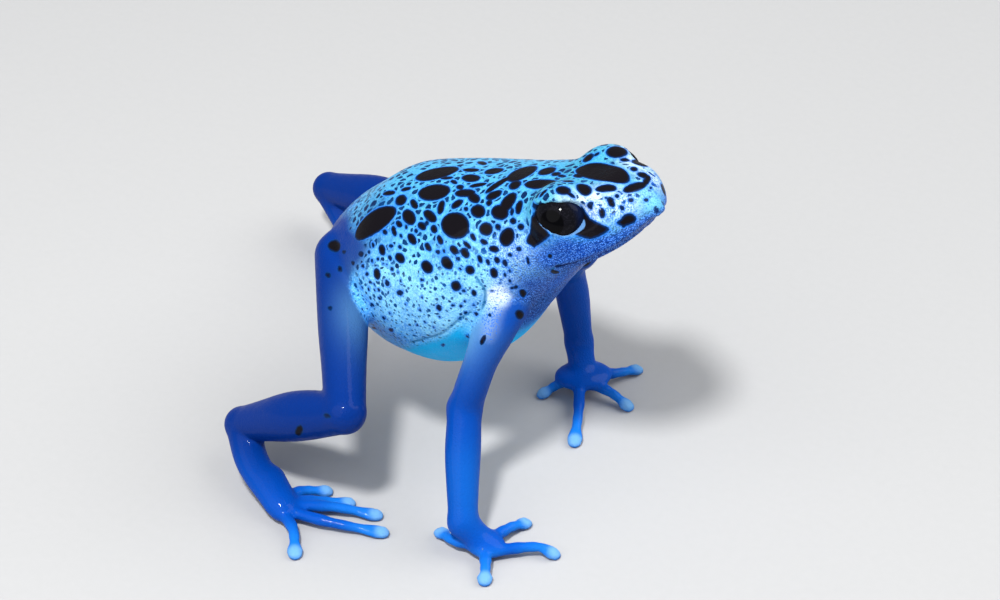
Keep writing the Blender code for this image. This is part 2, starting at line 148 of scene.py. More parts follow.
# Joints of the left arm and leg
SHOULDER_L = np.array([7.4, 5.4, 21.8])
ELBOW_L = np.array([1.6, 12.4, 13.2])
WRIST_L = np.array([2.9, 12.8, 4.2])
PALM_L = np.array([4.6, 11.1, 1.7])
HIP_L = np.array([-13.4, 4.6, 18.2])
KNEE_L = np.array([-19.6, 16.8, 9.2])
HEEL_L = np.array([-34.0, 19.2, 5.2])
BALL_L = np.array([-26.6, 15.9, 1.4])

# Digits: root over the floor, middle knuckle and disc, as (x, y, z)
DISC_HEIGHT = 0.36
HAND_R = (
    ((10.9, -14.2, 1.0), (11.4, -11.9, 0.95), (11.9, -9.8, DISC_HEIGHT)),
    ((12.2, -15.2, 0.95), (15.2, -12.5, 0.95), (16.6, -11.9, DISC_HEIGHT)),
    ((11.6, -16.0, 0.95), (12.5, -17.2, 0.9), (13.4, -18.6, DISC_HEIGHT)),
    ((10.2, -15.6, 1.0), (8.2, -16.2, 0.9), (6.1, -15.5, DISC_HEIGHT)),
)
HAND_L = (
    ((5.4, 12.0, 1.5), (6.8, 14.2, 1.05), (7.6, 16.5, DISC_HEIGHT)),
    ((5.8, 10.8, 1.4), (8.1, 11.0, 1.05), (10.1, 10.9, DISC_HEIGHT)),
    ((5.0, 9.8, 1.4), (6.9, 6.8, 1.05), (8.9, 3.1, DISC_HEIGHT)),
    ((3.9, 10.2, 1.5), (2.9, 9.2, 1.05), (2.0, 7.7, DISC_HEIGHT)),
)
FOOT_R = (
    ((-8.5, -20.6, 1.2), (-8.0, -18.9, 1.0), (-6.5, -16.9, DISC_HEIGHT)),
    ((-7.9, -20.9, 1.2), (-6.1, -19.3, 1.0), (-3.6, -17.1, DISC_HEIGHT)),
    ((-7.5, -21.4, 1.2), (-4.1, -19.0, 1.0), (-0.4, -17.0, DISC_HEIGHT)),
    ((-7.2, -22.0, 1.1), (-3.4, -21.0, 0.95), (1.6, -18.7, DISC_HEIGHT)),
    ((-7.4, -22.5, 1.1), (-5.3, -23.6, 0.95), (-3.3, -25.8, DISC_HEIGHT)),
)
FOOT_L = (
    ((-26.0, 14.8, 1.2), (-25.0, 13.2, 1.0), (-23.6, 11.6, DISC_HEIGHT)),
    ((-25.6, 15.2, 1.2), (-23.5, 13.7, 1.0), (-21.0, 12.4, DISC_HEIGHT)),
    ((-25.3, 15.8, 1.2), (-22.2, 14.8, 1.0), (-18.2, 14.2, DISC_HEIGHT)),
    ((-25.3, 16.4, 1.1), (-21.8, 16.8, 0.95), (-16.8, 17.0, DISC_HEIGHT)),
    ((-25.7, 17.0, 1.1), (-24.0, 18.4, 0.95), (-21.8, 20.6, DISC_HEIGHT)),
)
PALM_SIZE_R = (1.9, 1.6, 0.95)
PALM_SIZE_L = (2.2, 2.9, 0.95)
DIGIT_STATIONS = (0.0, 0.22, 0.36, 0.50, 0.62, 0.74, 0.84, 0.95, 1.0)
DIGIT_WIDTHS = (0.66, 0.56, 0.58, 0.48, 0.51, 0.46, 0.60, 0.76, 0.68)
DIGIT_HEIGHTS = (0.60, 0.52, 0.54, 0.46, 0.46, 0.40, 0.40, 0.44, 0.40)

# Limbs, as stations along each part, half widths and half heights there
UPPER_ARM = ((0.0, 0.25, 0.6, 1.0), (2.1, 1.95, 1.6, 1.58), (2.1, 1.9, 1.55, 1.58))
FOREARM = ((0.0, 0.35, 0.7, 1.0), (1.58, 1.75, 1.55, 1.4), (1.58, 1.65, 1.5, 1.3))
WRIST = ((0.0, 0.5, 1.0), (1.4, 1.4, 1.4), (1.3, 1.15, 0.95))
UPPER_LEG = ((0.0, 0.45, 0.75, 1.0), (2.6, 2.5, 2.2, 1.95), (2.6, 2.4, 2.1, 1.95))
SHANK = ((0.0, 0.45, 0.8, 1.0), (1.95, 2.45, 2.05, 1.7), (1.95, 2.4, 1.95, 1.7))
TARSUS = ((0.0, 0.2, 0.6, 1.0), (1.7, 1.65, 1.6, 1.5), (1.7, 1.55, 1.35, 1.15))
FOOT = ((0.0, 0.8, 1.0), (1.52, 1.5, 1.2), (1.2, 1.1, 0.95))
HAND_FACING, THIGH_FACING = (0.3, 0.0, 1.0), (1.0, 0.0, 0.0)
# How far the foot's tube runs back over the tarsus and on past the bones
FOOT_BACK, FOOT_ON = 3.0, 0.5
# How far the middle of each bone is bowed, and the forearm's share of the arm's bow
FOREARM_BOW = 0.2
ARM_BOW_R, ARM_BOW_L = np.array([0.0, -0.9, -0.2]), np.array([0.0, 0.6, -0.2])
SHANK_BOW_R, SHANK_BOW_L = np.array([0.0, 0.1, 0.2]), np.array([0.0, 0.0, 0.2])
TARSUS_BOW_R, TARSUS_BOW_L = np.array([-0.85, -0.3, -0.1]), np.array([0.0, 0.0, -0.1])
# Scutes on top of a digit's tip: place ahead, aside and above it, and half sizes
SCUTE_PLACE = (0.02, 0.27, 0.26)
SCUTE_SIZE = (0.40, 0.25, 0.20)

# How softly the parts run into each other
ARM_BLEND = 1.7
LEG_BLEND = 1.3
JOINT_BLEND = 0.9
BONE_BLEND = 0.5
DIGIT_BLEND = 0.55
SCUTE_BLEND = 0.10
LID_BLEND = 1.1
LID_EDGE_BLEND = 0.14
LIP_BLEND = 0.7
HOLE_BLEND = 0.15
SOLE_BLEND = 0.08
CREASE_RADIUS, CREASE_BLEND = 0.08, 0.35
MOUTH_BLEND = 0.2
# Distance given where nothing is near, and how far about a shape it is worked out
FAR = 5.0
REACH = 2.6
# Farthest step back to the skin and share of the way to the neighbours' mean, when relaxed
STEP_LIMIT, SLIDE = 0.3, 0.5

# Grid of the skin along X, Y and Z, finer at the head, hands and floor: start, end and spacing
# in cell sizes
GRID = (
    ((-36.4, 4.0, 1.2), (4.0, 20.2, 0.85)),
    ((-27.2, -9.0, 1.0), (-9.0, 7.6, 0.85), (7.6, 22.0, 1.0)),
    ((-0.5, 3.1, 0.8), (3.1, 23.5, 1.35), (23.5, 36.6, 0.8)),
)

# View of the reference photograph, whose frame is 1000 by 600 pixels
VIEW_WIDTH, VIEW_HEIGHT = 1000, 600
VIEW_TARGET = np.array([0.0, 3.0, 14.0])
SENSOR = 36.0
# Search along a ray: half its length, share of the distance left that a step takes, and how
# close to the skin it ends
SEARCH, STRIDE, CLOSE = 45.0, 0.7, 0.02
# Most that a laid spot is stretched, and least facing to the camera used to lay it flat
STRETCH_LIMIT, LEAST_FACING = 1.6, 0.35

# Studio lights, with their places and sizes in metres, and the floor in millimetres
LIGHTS = (("key", (0.05, -0.19, 0.40), 0.06), ("fill", (-0.45, -1.45, 1.05), 2.2),
          ("rim", (0.44, 0.48, 0.70), 0.9))
LIGHT_TARGET = np.array([0.0, 0.0, 0.015])
FLOOR_HALF, FLOOR_LEVEL = 900.0, -0.02

# Dark spots of the visible side: middle, length, width in pixels, and tilt in degrees,
# where a positive tilt lowers the right end
SPOTS = (
    (437, 173, 45, 11, -13), (471, 178, 19, 8, 0), (434, 192, 33, 16, -10), (373, 222, 51, 20, -39),
    (335, 246, 13, 13, 0), (361, 254, 6, 5, 0), (344, 252, 5, 4, 0),
    (409, 217, 17, 13, 62), (430, 216, 16, 10, 42), (441, 207, 15, 7, -75), (465, 193, 21, 8, -5),
    (474, 198, 13, 10, 20), (457, 204, 14, 7, -35), (478, 211, 15, 14, 0), (455, 225, 29, 27, 20),
    (486, 229, 14, 14, 0), (500, 212, 18, 16, 0), (508, 202, 24, 12, -52), (519, 207, 15, 7, -75),
    (507, 237, 20, 15, -70), (522, 173, 33, 11, -22), (498, 184, 32, 5, -32),
    (547, 171, 19, 7, -15), (541, 184, 33, 10, -10), (515, 185, 14, 8, -25),
    (494, 195, 18, 8, -25), (494, 171, 20, 6, -10),
    (482, 163, 10, 5, 10), (471, 170, 17, 4, 0), (460, 187, 8, 5, 0), (454, 182, 8, 4, 20),
    (447, 178, 13, 3, -5), (478, 185, 18, 4, -10), (401, 200, 13, 10, -40), (414, 204, 11, 7, 60),
    (406, 189, 11, 4, -15), (389, 193, 13, 5, -10), (422, 226, 10, 8, 50), (434, 229, 9, 7, 75),
    (440, 240, 11, 6, 70), (412, 239, 13, 8, 60), (428, 247, 10, 6, 60), (394, 231, 11, 5, 75),
    (399, 224, 8, 6, 50), (385, 232, 6, 5, 70), (382, 250, 12, 7, 80), (400, 258, 12, 9, 50),
    (454, 250, 11, 8, 50), (465, 253, 12, 8, 60), (467, 245, 11, 5, 45), (473, 237, 10, 5, 60),
    (447, 263, 15, 11, 55), (427, 267, 15, 11, 55), (470, 270, 10, 9, 45), (494, 273, 11, 8, 70),
    (480, 259, 9, 5, 70), (488, 262, 7, 4, 70), (497, 260, 7, 6, 70), (505, 263, 8, 5, 70),
    (494, 249, 11, 7, 10), (484, 242, 8, 6, 30), (498, 227, 7, 6, 70), (513, 221, 7, 7, 0),
    (521, 227, 7, 7, 0), (519, 249, 6, 5, 0), (510, 255, 5, 4, 0), (512, 212, 8, 4, -80),
    (456, 286, 11, 10, 50), (464, 291, 4, 4, 0), (474, 293, 7, 5, 70), (400, 293, 7, 6, 0),
    (387, 283, 7, 5, 70), (377, 274, 12, 7, 80), (422, 280, 5, 4, 0), (523, 293, 9, 7, 60),
    (520, 315, 10, 9, 60), (550, 256, 5, 5, 0), (555, 272, 9, 4, 5), (439, 308, 7, 6, 70),
    (461, 306, 4, 4, 0), (453, 305, 4, 4, 0), (420, 310, 4, 4, 0), (422, 297, 4, 3, 70),
    (458, 259, 5, 5, 0), (460, 269, 4, 3, 0), (438, 252, 5, 5, 0), (444, 251, 5, 3, 80),
    (416, 231, 5, 4, 70), (427, 223, 5, 4, 70), (391, 246, 5, 4, 0), (390, 258, 6, 4, 70),
    (466, 209, 5, 5, 0), (489, 203, 7, 6, -40), (602, 172, 55, 18, 7), (617, 151, 22, 11, 3),
    (615, 142, 9, 3, 0), (588, 158, 13, 6, -35), (597, 154, 7, 3, -35), (625, 160, 10, 4, 5),
    (640, 163, 16, 7, 15), (635, 187, 25, 9, -15), (647, 180, 11, 7, -60), (643, 175, 12, 6, 15),
    (606, 188, 22, 8, -4), (584, 189, 17, 11, 25), (563, 190, 16, 9, 5), (571, 195, 11, 4, 35),
    (543, 193, 12, 3, -45), (556, 174, 10, 4, -10), (562, 176, 9, 3, 5), (578, 176, 10, 4, 5),
    (568, 181, 12, 3, 0), (634, 169, 8, 5, 10), (617, 196, 5, 5, 0), (631, 200, 6, 5, 0),
    (646, 200, 5, 4, 0), (611, 202, 12, 7, 65), (590, 206, 8, 6, 80), (602, 213, 11, 7, 80),
    (528, 261, 9, 3, 80),
    (483, 340, 12, 5, -65), (490, 315, 4, 3, 0), (299, 431, 12, 8, -70), (327, 416, 8, 5, 20),
    (328, 275, 7, 6, 60), (330, 308, 6, 5, 60),
    (510, 271, 4, 3, 80), (505, 275, 5, 3, 80), (510, 281, 4, 3, 70), (500, 283, 3, 2, 0),
    (512, 288, 4, 3, 0), (516, 287, 4, 4, 0), (492, 291, 3, 2, 0), (490, 315, 4, 2, 80),
    (476, 314, 5, 4, 0), (466, 313, 4, 3, 0), (460, 318, 3, 3, 0), (474, 305, 3, 3, 0),
    (465, 301, 3, 3, 0), (468, 336, 4, 3, 80), (372, 305, 5, 4, 0), (384, 318, 4, 4, 0),
    (374, 328, 5, 3, 10), (391, 330, 5, 4, 20), (417, 325, 3, 3, 0), (434, 327, 3, 3, 0),
    (425, 322, 3, 3, 0), (439, 317, 3, 3, 0), (406, 304, 3, 3, 0), (390, 313, 3, 3, 0),
    (443, 345, 3, 3, 0), (361, 254, 6, 5, 70), (353, 263, 5, 4, 70), (340, 269, 8, 5, 80),
    (372, 261, 5, 3, 80), (378, 259, 4, 3, 80), (363, 266, 4, 4, 0), (383, 264, 3, 3, 0),
    (387, 265, 3, 3, 0), (392, 269, 5, 4, 80), (398, 272, 4, 3, 70), (367, 274, 4, 4, 0),
    (370, 282, 3, 3, 0), (374, 284, 3, 3, 0), (362, 288, 3, 3, 0), (369, 289, 4, 3, 80),
    (375, 290, 3, 3, 0), (379, 290, 4, 3, 80), (401, 281, 4, 3, 80), (373, 245, 6, 3, 80),
    (369, 252, 5, 3, 80), (400, 247, 5, 4, 50), (401, 236, 5, 3, 70), (406, 227, 5, 3, 70),
    (380, 298, 5, 4, 0), (606, 198, 3, 3, 0), (651, 188, 3, 3, 0), (622, 208, 6, 5, 70),
)
# Spots sown where the photograph doesn't show the skin: radius in millimetres and tries
SEEDED_SPOTS = ((0.75, 160), (0.5, 400), (0.32, 700))
SEEDED_GAP = 0.24
# Skin counts as shown above this facing to the camera, as body up to these distances from the
# body form, and as head beyond this way along the body line
SHOWN_FACING = -0.1
SPOT_OFF_BODY, ROOM_OFF_BODY = 0.7, 0.8
HEAD_START = 30.0
# Half width of the strip along the back where spots aren't mirrored
MIDDLE_STRIP = 0.6
# How far a mirrored copy of a spot is moved and turned, and its least and most size
COPY_MOVE, COPY_TURN, COPY_SIZES = 0.25, 0.35, (0.85, 1.15)
# Outline of the opening between the lids, in pixels
EYE_OPENING = (
    (535, 210), (537, 206.5), (541, 204), (547, 203), (555, 202.6), (563, 202.4), (570, 202.8),
    (576, 204), (580, 206), (582.8, 210), (583.9, 215), (583.4, 220), (581.3, 225),
    (577.8, 229.4), (573.6, 232.6), (569, 234.9), (564, 235.8), (559, 234.8), (553, 232.8),
    (548, 230), (543.5, 226.8), (539.8, 222.8), (537, 218), (535.3, 213.5),
)
# Whitish patch that runs from the shoulder down the upper arm, in pixels
SHOULDER = (
    (487, 292), (493, 287.5), (502, 286.5), (508, 290), (511.5, 296), (508, 303), (502, 309),
    (500, 318), (497, 330), (491, 340), (482, 338), (483, 322), (486, 306),
)
# Pale edge of the lower lid, in pixels
LID_EDGE = (
    (536.2, 216), (539.5, 222), (543.5, 226), (548, 229.3), (553, 232), (559, 234), (564, 234.5),
    (569, 233), (573, 230.3), (576.5, 227), (580, 223), (583, 219), (584.8, 220.5), (585.4, 225),
    (583.8, 228.4), (580.2, 231.4), (575, 234.3), (569, 236.3), (562, 236.7), (555.6, 235),
    (550, 232.6), (544.6, 229), (540.4, 225.2), (537.2, 220.4),
)
# Black mask behind and before the eye, in pixels
MASKS = (
    ((533.5, 201), (532, 206), (532, 215), (531, 222), (530.4, 228), (530, 232), (527.5, 236),
     (526, 240), (527, 243.5), (531, 245.5), (534, 248.6), (537, 246), (541, 243.5), (545, 240.5),
     (548, 238), (550.5, 235.5), (549, 226), (544, 212), (539, 205)),
    ((581, 205), (584, 209.5), (587, 214), (590, 218), (594, 220.5), (599, 223), (605, 225.6),
     (610.5, 228.6), (608.5, 231), (604, 234.2), (598, 237.6), (592, 239.4), (586, 238.6),
     (581, 236.9), (575, 235), (574, 225), (577, 212)),
    ((615, 223.4), (618, 221), (621, 218.5), (624, 214.8), (627, 213.4), (632, 213.6),
     (636, 216.5), (637, 219.5), (634.5, 223), (630, 225), (625.5, 226), (623.4, 228.4),
     (621.5, 226), (618, 224.8)),
)
# Creases of the skin, as pixel places along each: behind the arm, along the lower flank, and at the
# corner of the mouth. Their bottoms get painted shade.
CREASES = (
    ((476, 277), (479.2, 282.5), (483.3, 287.5), (485.2, 292.5), (485.2, 298.3), (483.7, 305),
     (480.8, 311)),
    ((471, 312.5), (463, 317.5), (453, 325), (445, 331.5), (436, 336), (425, 339), (410, 343)),
    ((552, 269.5), (555.5, 267.5), (559, 265.2)),
)
# Blue of the thigh and hip, and the belly under the lower fold, in pixels. The thigh and hip take
# the rump's dark blue, partly painted shade.
THIGH = (
    (350, 214), (352, 228), (362, 238), (370, 246), (368, 256), (357, 266), (351.5, 277),
    (350, 287), (353, 300), (361, 315), (369, 330), (375, 341), (376, 420), (290, 420),
    (290, 240), (318, 222), (335, 214),
)
BELLY = (
    (471, 312.5), (463, 317.5), (453, 325), (445, 331.5), (436, 336), (425, 339), (410, 343),
    (398, 345.5), (398, 375), (482, 375), (480, 330),
)
# Soft patches of colour: pixel place, radius in millimetres, colour, strength, and whether the
# ground is broken up by blue flecks. The white patches on the upper lid and before the eye are
# partly pale skin and partly painted wet highlights, the digit patches on the forearm partly a
# painted highlight, and the rump patches on the hip partly painted shade.
PATCHES = (
    # Painted highlight: these digit-coloured patches lighten the forearm, partly as a painted
    # highlight.
    (468, 470, 3.0, "digit", 0.30, 0), (474, 505, 2.6, "digit", 0.30, 0),
    (425, 300, 4.6, "pale", 0.95, 0), (470, 292, 2.4, "pale", 0.9, 0),
    (450, 330, 2.0, "pale", 0.6, 0), (385, 290, 3.4, "pale", 0.85, 0),
    (515, 262, 2.9, "pale", 0.9, 1), (480, 240, 2.5, "pale", 0.5, 0),
    (518, 250, 1.8, "white", 0.4, 0), (505, 280, 1.3, "white", 0.5, 1),
    # Painted shade: these rump patches darken the hip, partly as painted shade.
    (335, 240, 2.6, "rump", 0.9, 0), (356, 256, 1.4, "rump", 0.7, 0),
    (372, 222, 3.0, "rump", 0.75, 0), (440, 262, 1.8, "shade", 0.35, 0),
    # Painted highlights: the white patch on the upper lid here and the white patches before the eye
    # below are partly painted wet highlights.
    (499, 293, 0.9, "white", 0.95, 0), (566, 197, 1.0, "white", 0.5, 0),
    (500, 262, 1.6, "pale", 0.8, 0), (592, 199, 1.4, "white", 0.95, 0),
    (609, 199, 1.5, "white", 0.95, 0), (628, 202, 1.3, "white", 0.7, 1),
    (648, 198, 1.5, "pale", 0.35, 1), (612, 212, 1.2, "pale", 0.8, 1),
    (655, 175, 2.0, "face", 0.8, 0), (580, 165, 1.6, "face", 0.6, 0),
    (565, 246, 1.3, "cheek", 0.95, 0), (585, 248, 1.3, "cheek", 0.9, 0),
    (606, 243, 1.2, "cheek", 0.8, 0), (628, 232, 1.0, "cheek", 0.7, 0),
    (645, 221, 0.9, "cheek", 0.6, 0), (548, 262, 1.7, "cheek", 0.9, 0),
    (532, 285, 1.7, "cheek", 0.9, 0), (538, 303, 1.6, "limb", 0.9, 0),
    (560, 280, 2.0, "cheek", 0.9, 0), (512, 320, 1.6, "hand", 0.9, 0),
    (516, 305, 1.0, "hand", 0.8, 0), (594, 212, 1.2, "white", 0.7, 1),
    (620, 206, 1.2, "white", 0.7, 1), (508, 248, 1.5, "white", 0.35, 1),
)
# Dots of the flanks: cells for each millimetre, least and most radius in cells, how much the
# most grows from the belly to the back, and strength
DOTS = ((3.1, 0.14, 0.26, 0.10, 0.4), (1.9, 0.17, 0.34, 0.14, 0.85), (1.3, 0.15, 0.25, 0.24, 1.0))

# Where the ground colours and patterns begin and where they are whole. Off the body, along it
# from the vent, over the floor, from a digit's tip and ahead along X are in millimetres, a level
# goes from -1 at the belly to 1 at the back, and a row is in pixels of the photograph.
LIMB_OFF_BODY, LIMB_ALONG, LIMB_OVER_FLOOR = (0.3, 1.0), (31.0, 30.0), (8.0, 6.5)
THIGH_ALONG, THIGH_OVER_FLOOR, THIGH_SOFT_ROW = (18.0, 16.0), (6.0, 8.0), (285.0, 262.0)
GROIN_AHEAD, GROIN_OVER_FLOOR, GROIN_OFF_BODY = (2.0, 0.0), (11.0, 13.0), (1.8, 0.8)
CHEST_ALONG, CHEST_LEVEL = (20.0, 23.5), (-0.35, -0.75)
CHEEK_ALONG, CHEEK_LEVEL = (26.3, 28.3), (0.25, -0.1)
FACE_ALONG, FACE_LEVEL = (34.5, 36.5), (-0.30, 0.05)
CROWN_ALONG, CROWN_LEVEL = (29.0, 32.0), (0.3, 0.8)
BACK_LEVEL = (0.3, 0.85)
RUMP_ALONG, RUMP_LEVEL = (9.0, 2.0), (-0.9, -0.2)
HAND_AHEAD, HAND_OVER_FLOOR = (0.0, 2.5), (5.5, 1.2)
DIGIT_FROM_TIP, DIGIT_OVER_FLOOR = (5.0, 1.5), (2.0, 1.0)
TIP_FROM_TIP, TIP_OVER_FLOOR = (1.1, 0.5), (0.1, 0.5)
SHOULDER_ROW = (294.0, 318.0)
BELLY_LEVEL, BELLY_ALONG = (-0.75, -0.98), (22.0, 19.0)
NET_LEVEL, NET_ALONG = (0.15, 0.75), (6.0, 11.0)
DOTS_LEVEL, SIZE_LEVEL = (-0.98, -0.7), (-0.35, 0.7)

# Patterns of the skin's material, in cells or waves for each millimetre
WAVE_SCALE = 2.6
SPECK_SCALE = 5.5
SLOW_SCALE = 0.45
FLECK_SCALE = 6.4
GRAIN_SCALE = 4.6
PORE_SCALE = 7.2
NET_SCALE = 1.15


def smooth_through(at, knots, values):
    """Cubic pieces through the values at the knots, with each slope the harmonic mean of its
    neighbours, so that the curve never overshoots."""
    knots = np.asarray(knots, float)
    values = np.asarray(values, float)
    table = values.reshape(len(knots), -1)
    step = np.diff(knots)[:, None]
    slope = np.diff(table, axis=0) / step
    before, after = slope[:-1], slope[1:]
    same_way = before * after > 0
    mean = np.where(same_way, 2 * before * after / np.where(same_way, before + after, 1.0), 0.0)
    tangent = np.concatenate([slope[:1], mean, slope[-1:]])
    at = np.clip(np.asarray(at, float), knots[0], knots[-1])
    place = np.clip(np.searchsorted(knots, at) - 1, 0, len(knots) - 2)
    width = step[place]
    t = (at - knots[place])[..., None] / width
    result = ((1 + 2 * t) * (1 - t) ** 2 * table[place]
              + t * (1 - t) ** 2 * width * tangent[place]
              + t * t * (3 - 2 * t) * table[place + 1]
              + t * t * (t - 1) * width * tangent[place + 1])
    return result[..., 0] if values.ndim == 1 else result


def unit(vectors):
    """Vectors made one long."""
    return vectors / np.linalg.norm(vectors, axis=-1, keepdims=True)


def ramp(values, start, end):
    """0 at start, 1 at end, with a smooth S between: t * t * (3 - 2 t)."""
    t = np.clip((values - start) / (end - start), 0.0, 1.0)
    return t * t * (3 - 2 * t)


def soft_min(first, second, blend):
    """Smaller of two distances with the corner filled: min(a, b) - h^3 k / 6, where
    h = 1 - |a - b| / k."""
    h = np.clip(1 - np.abs(first - second) / blend, 0.0, None)
    return np.minimum(first, second) - h ** 3 * blend / 6


def soft_max(first, second, blend):
    """Larger of two distances with the edge rounded, the mirror of soft_min."""
    return -soft_min(-first, -second, blend)


def oval_distance(parts, sizes):
    """Distance to an oval ball: |r| (1 - 1 / rho), where rho is the length of the offset
    measured in the half sizes."""
    rho = np.sqrt(sum((part / size) ** 2 for part, size in zip(parts, sizes)))
    reach = np.sqrt(sum(part ** 2 for part in parts) + 1e-6)
    return reach * (1 - 1 / np.maximum(rho, 1e-6))


def from_body(along, aside, above):
    """Place in the room of a point given in body terms."""
    return VENT + along * FORE + aside * SIDE + above * UP


def body_terms(points):
    """Forward, sideways and upward distances from the vent along the body's own axes."""
    offset = points - VENT
    return offset @ FORE, offset @ SIDE, offset @ UP


def body_distance(points):
    """Body and head as one form. In each section across the body line
    rho^n = (|aside| / width)^n + (|above - middle| / height)^n, and the ends are rounded by
    rho^2 + rump^2 at the back and rho^(1 / F) + snout^2 at the front."""
    along, aside, above = body_terms(points)
    sizes = smooth_through(along, BODY[:, 0], BODY[:, 1:])
    middle, rise, drop, width, rise_fullness, drop_fullness = sizes.T
    level = above - middle
    height = np.where(level > 0, rise, drop)
    fullness = np.where(level > 0, rise_fullness, drop_fullness)
    rho = ((np.abs(aside) / width) ** fullness + (np.abs(level) / height) ** fullness)
    rho = rho ** (1 / fullness)
    rump = np.clip(1 - along / RUMP_ROUNDING, 0.0, None)
    snout = np.clip(1 - (BODY_LENGTH - along) / SNOUT_ROUNDING, 0.0, None)
    rho = np.sqrt(rho ** 2 + rump ** 2)
    rho = np.where(snout > 0, (rho ** (1 / SNOUT_FULLNESS) + snout ** 2) ** SNOUT_FULLNESS, rho)
    reach = np.sqrt(aside ** 2 + level ** 2 + (rump * RUMP_ROUNDING) ** 2
                    + (snout * SNOUT_ROUNDING) ** 2 + 1e-6)
    return reach * (1 - 1 / np.maximum(rho, 1e-6))


def side_of_body(along, above):
    """Half width of the body at one height of a section."""
    middle, rise, drop, width, rise_fullness, drop_fullness = smooth_through(
        along, BODY[:, 0], BODY[:, 1:])
    height, fullness = (rise, rise_fullness) if above > middle else (drop, drop_fullness)
    from_tip = min(max(BODY_LENGTH - along, 0.0), SNOUT_ROUNDING)
    rounding = (1 - (1 - from_tip / SNOUT_ROUNDING) ** 2) ** SNOUT_FULLNESS
    reach = min(abs(above - middle) / (height * rounding + 1e-9), 1.0)
    return width * rounding * (1 - reach ** fullness) ** (1 / fullness)


def tube(path, stations, widths, heights, facing, samples=48):
    """Limb or digit: centres on a smooth path, the three axes there and the half sizes across."""
    path = np.asarray(path, float)
    run = np.concatenate([[0.0], np.cumsum(np.linalg.norm(np.diff(path, axis=0), axis=1))])
    share = np.linspace(0.0, 1.0, samples)
    centre = smooth_through(share * run[-1], run, path)
    along = unit(np.gradient(centre, axis=0))
    facing = np.asarray(facing, float)
    upright = unit(facing - along * (along @ facing)[:, None])
    across = np.cross(upright, along)
    width = smooth_through(share, stations, widths)
    height = smooth_through(share, stations, heights)
    thick = max(width.max(), height.max())
    return {"centre": centre, "along": along, "upright": upright, "across": across,
            "width": width, "height": height, "step": run[-1] / (samples - 1),
            "low": centre.min(axis=0) - thick, "high": centre.max(axis=0) + thick}


def tube_distance(line, points):
    """Distance to a tube: the foot on its path, then the oval across it, with round ends."""
    centre = line["centre"]
    square = (centre ** 2).sum(axis=1) - 2 * points @ centre.T
    nearest = square.argmin(axis=1)
    slide = ((points - centre[nearest]) * line["along"][nearest]).sum(axis=1) / line["step"]
    place = np.clip(nearest + np.clip(slide, -0.5, 0.5), 0, len(centre) - 1)
    low = np.minimum(place.astype(int), len(centre) - 2)
    share = place - low

    def between(values):
        part = share[:, None] if values.ndim == 2 else share
        return values[low] * (1 - part) + values[low + 1] * part

    offset = points - between(centre)
    parts = [(offset * between(line[axis])).sum(axis=1) for axis in ("across", "upright", "along")]
    width = between(line["width"])
    return oval_distance(parts, (width, between(line["height"]), width))


def ball(centre, axes, sizes):
    """Oval ball with its three half sizes along the given axes."""
    centre = np.asarray(centre, float)
    return {"centre": centre, "axes": np.asarray(axes, float), "sizes": sizes,
            "low": centre - max(sizes), "high": centre + max(sizes)}


def ball_distance(oval, points):
    """Distance to an oval ball."""
    parts = ((points - oval["centre"]) @ oval["axes"].T).T
    return oval_distance(parts, oval["sizes"])


def joined(points, shapes):
    """Soft union of tubes and balls, each with its own blend. Each is worked out only near it."""
    distance = np.full(len(points), FAR)
    for shape, blend in shapes:
        near = np.all((points > shape["low"] - REACH) & (points < shape["high"] + REACH), axis=1)
        if near.any():
            form = ball_distance if "axes" in shape else tube_distance
            distance[near] = soft_min(distance[near], form(shape, points[near]), blend)
    return distance


def digit_shapes(digits):
    """Fingers or toes with a flattened disc and two small scutes on top of each tip."""
    shapes = []
    for digit in digits:
        line = tube(digit, DIGIT_STATIONS, DIGIT_WIDTHS, DIGIT_HEIGHTS, FLOOR_UP, 32)
        shapes.append((line, DIGIT_BLEND))
        ahead, aside, tip = line["along"][-1], line["across"][-1], line["centre"][-1]
        for side in (RIGHT, LEFT):
            place = tip + SCUTE_PLACE[0] * ahead + side * SCUTE_PLACE[1] * aside \
                + np.array([0.0, 0.0, SCUTE_PLACE[2]])
            scute = ball(place, (ahead, aside, np.cross(ahead, aside)), SCUTE_SIZE)
            shapes.append((scute, SCUTE_BLEND))
    return shapes


def arm_shapes(shoulder, elbow, wrist, palm, palm_size, digits, bow):
    """Upper arm, forearm, hand and fingers."""
    upper = tube((shoulder, (shoulder + elbow) / 2 + bow, elbow), *UPPER_ARM, FORE)
    forearm = tube((elbow, (elbow + wrist) / 2 + FOREARM_BOW * bow, wrist), *FOREARM, FORE)
    hand = tube((wrist, (wrist + palm) / 2, palm), *WRIST, HAND_FACING, 24)
    reach = unit((palm - wrist) * np.array([1.0, 1.0, 0.0]))
    pad = ball(palm, (reach, np.cross(FLOOR_UP, reach), FLOOR_UP), palm_size)
    return [(shape, JOINT_BLEND) for shape in (upper, forearm, hand, pad)] + digit_shapes(digits)


def leg_shapes(hip, knee, heel, bone_end, digits, shank_bow, tarsus_bow):
    """Thigh, shank, tarsus, foot and toes."""
    thigh = tube((hip, (hip + knee) / 2, knee), *UPPER_LEG, THIGH_FACING)
    shank = tube((knee, (knee + heel) / 2 + shank_bow, heel), *SHANK, FLOOR_UP)
    tarsus = tube((heel, (heel + bone_end) / 2 + tarsus_bow, bone_end), *TARSUS, FLOOR_UP)
    forward = unit(bone_end - heel)
    foot = tube((bone_end - FOOT_BACK * forward, bone_end, bone_end + FOOT_ON * forward), *FOOT,
                FLOOR_UP, 24)
    shapes = [(thigh, JOINT_BLEND), (shank, BONE_BLEND), (tarsus, BONE_BLEND),
              (foot, JOINT_BLEND)]
    return shapes + digit_shapes(digits)


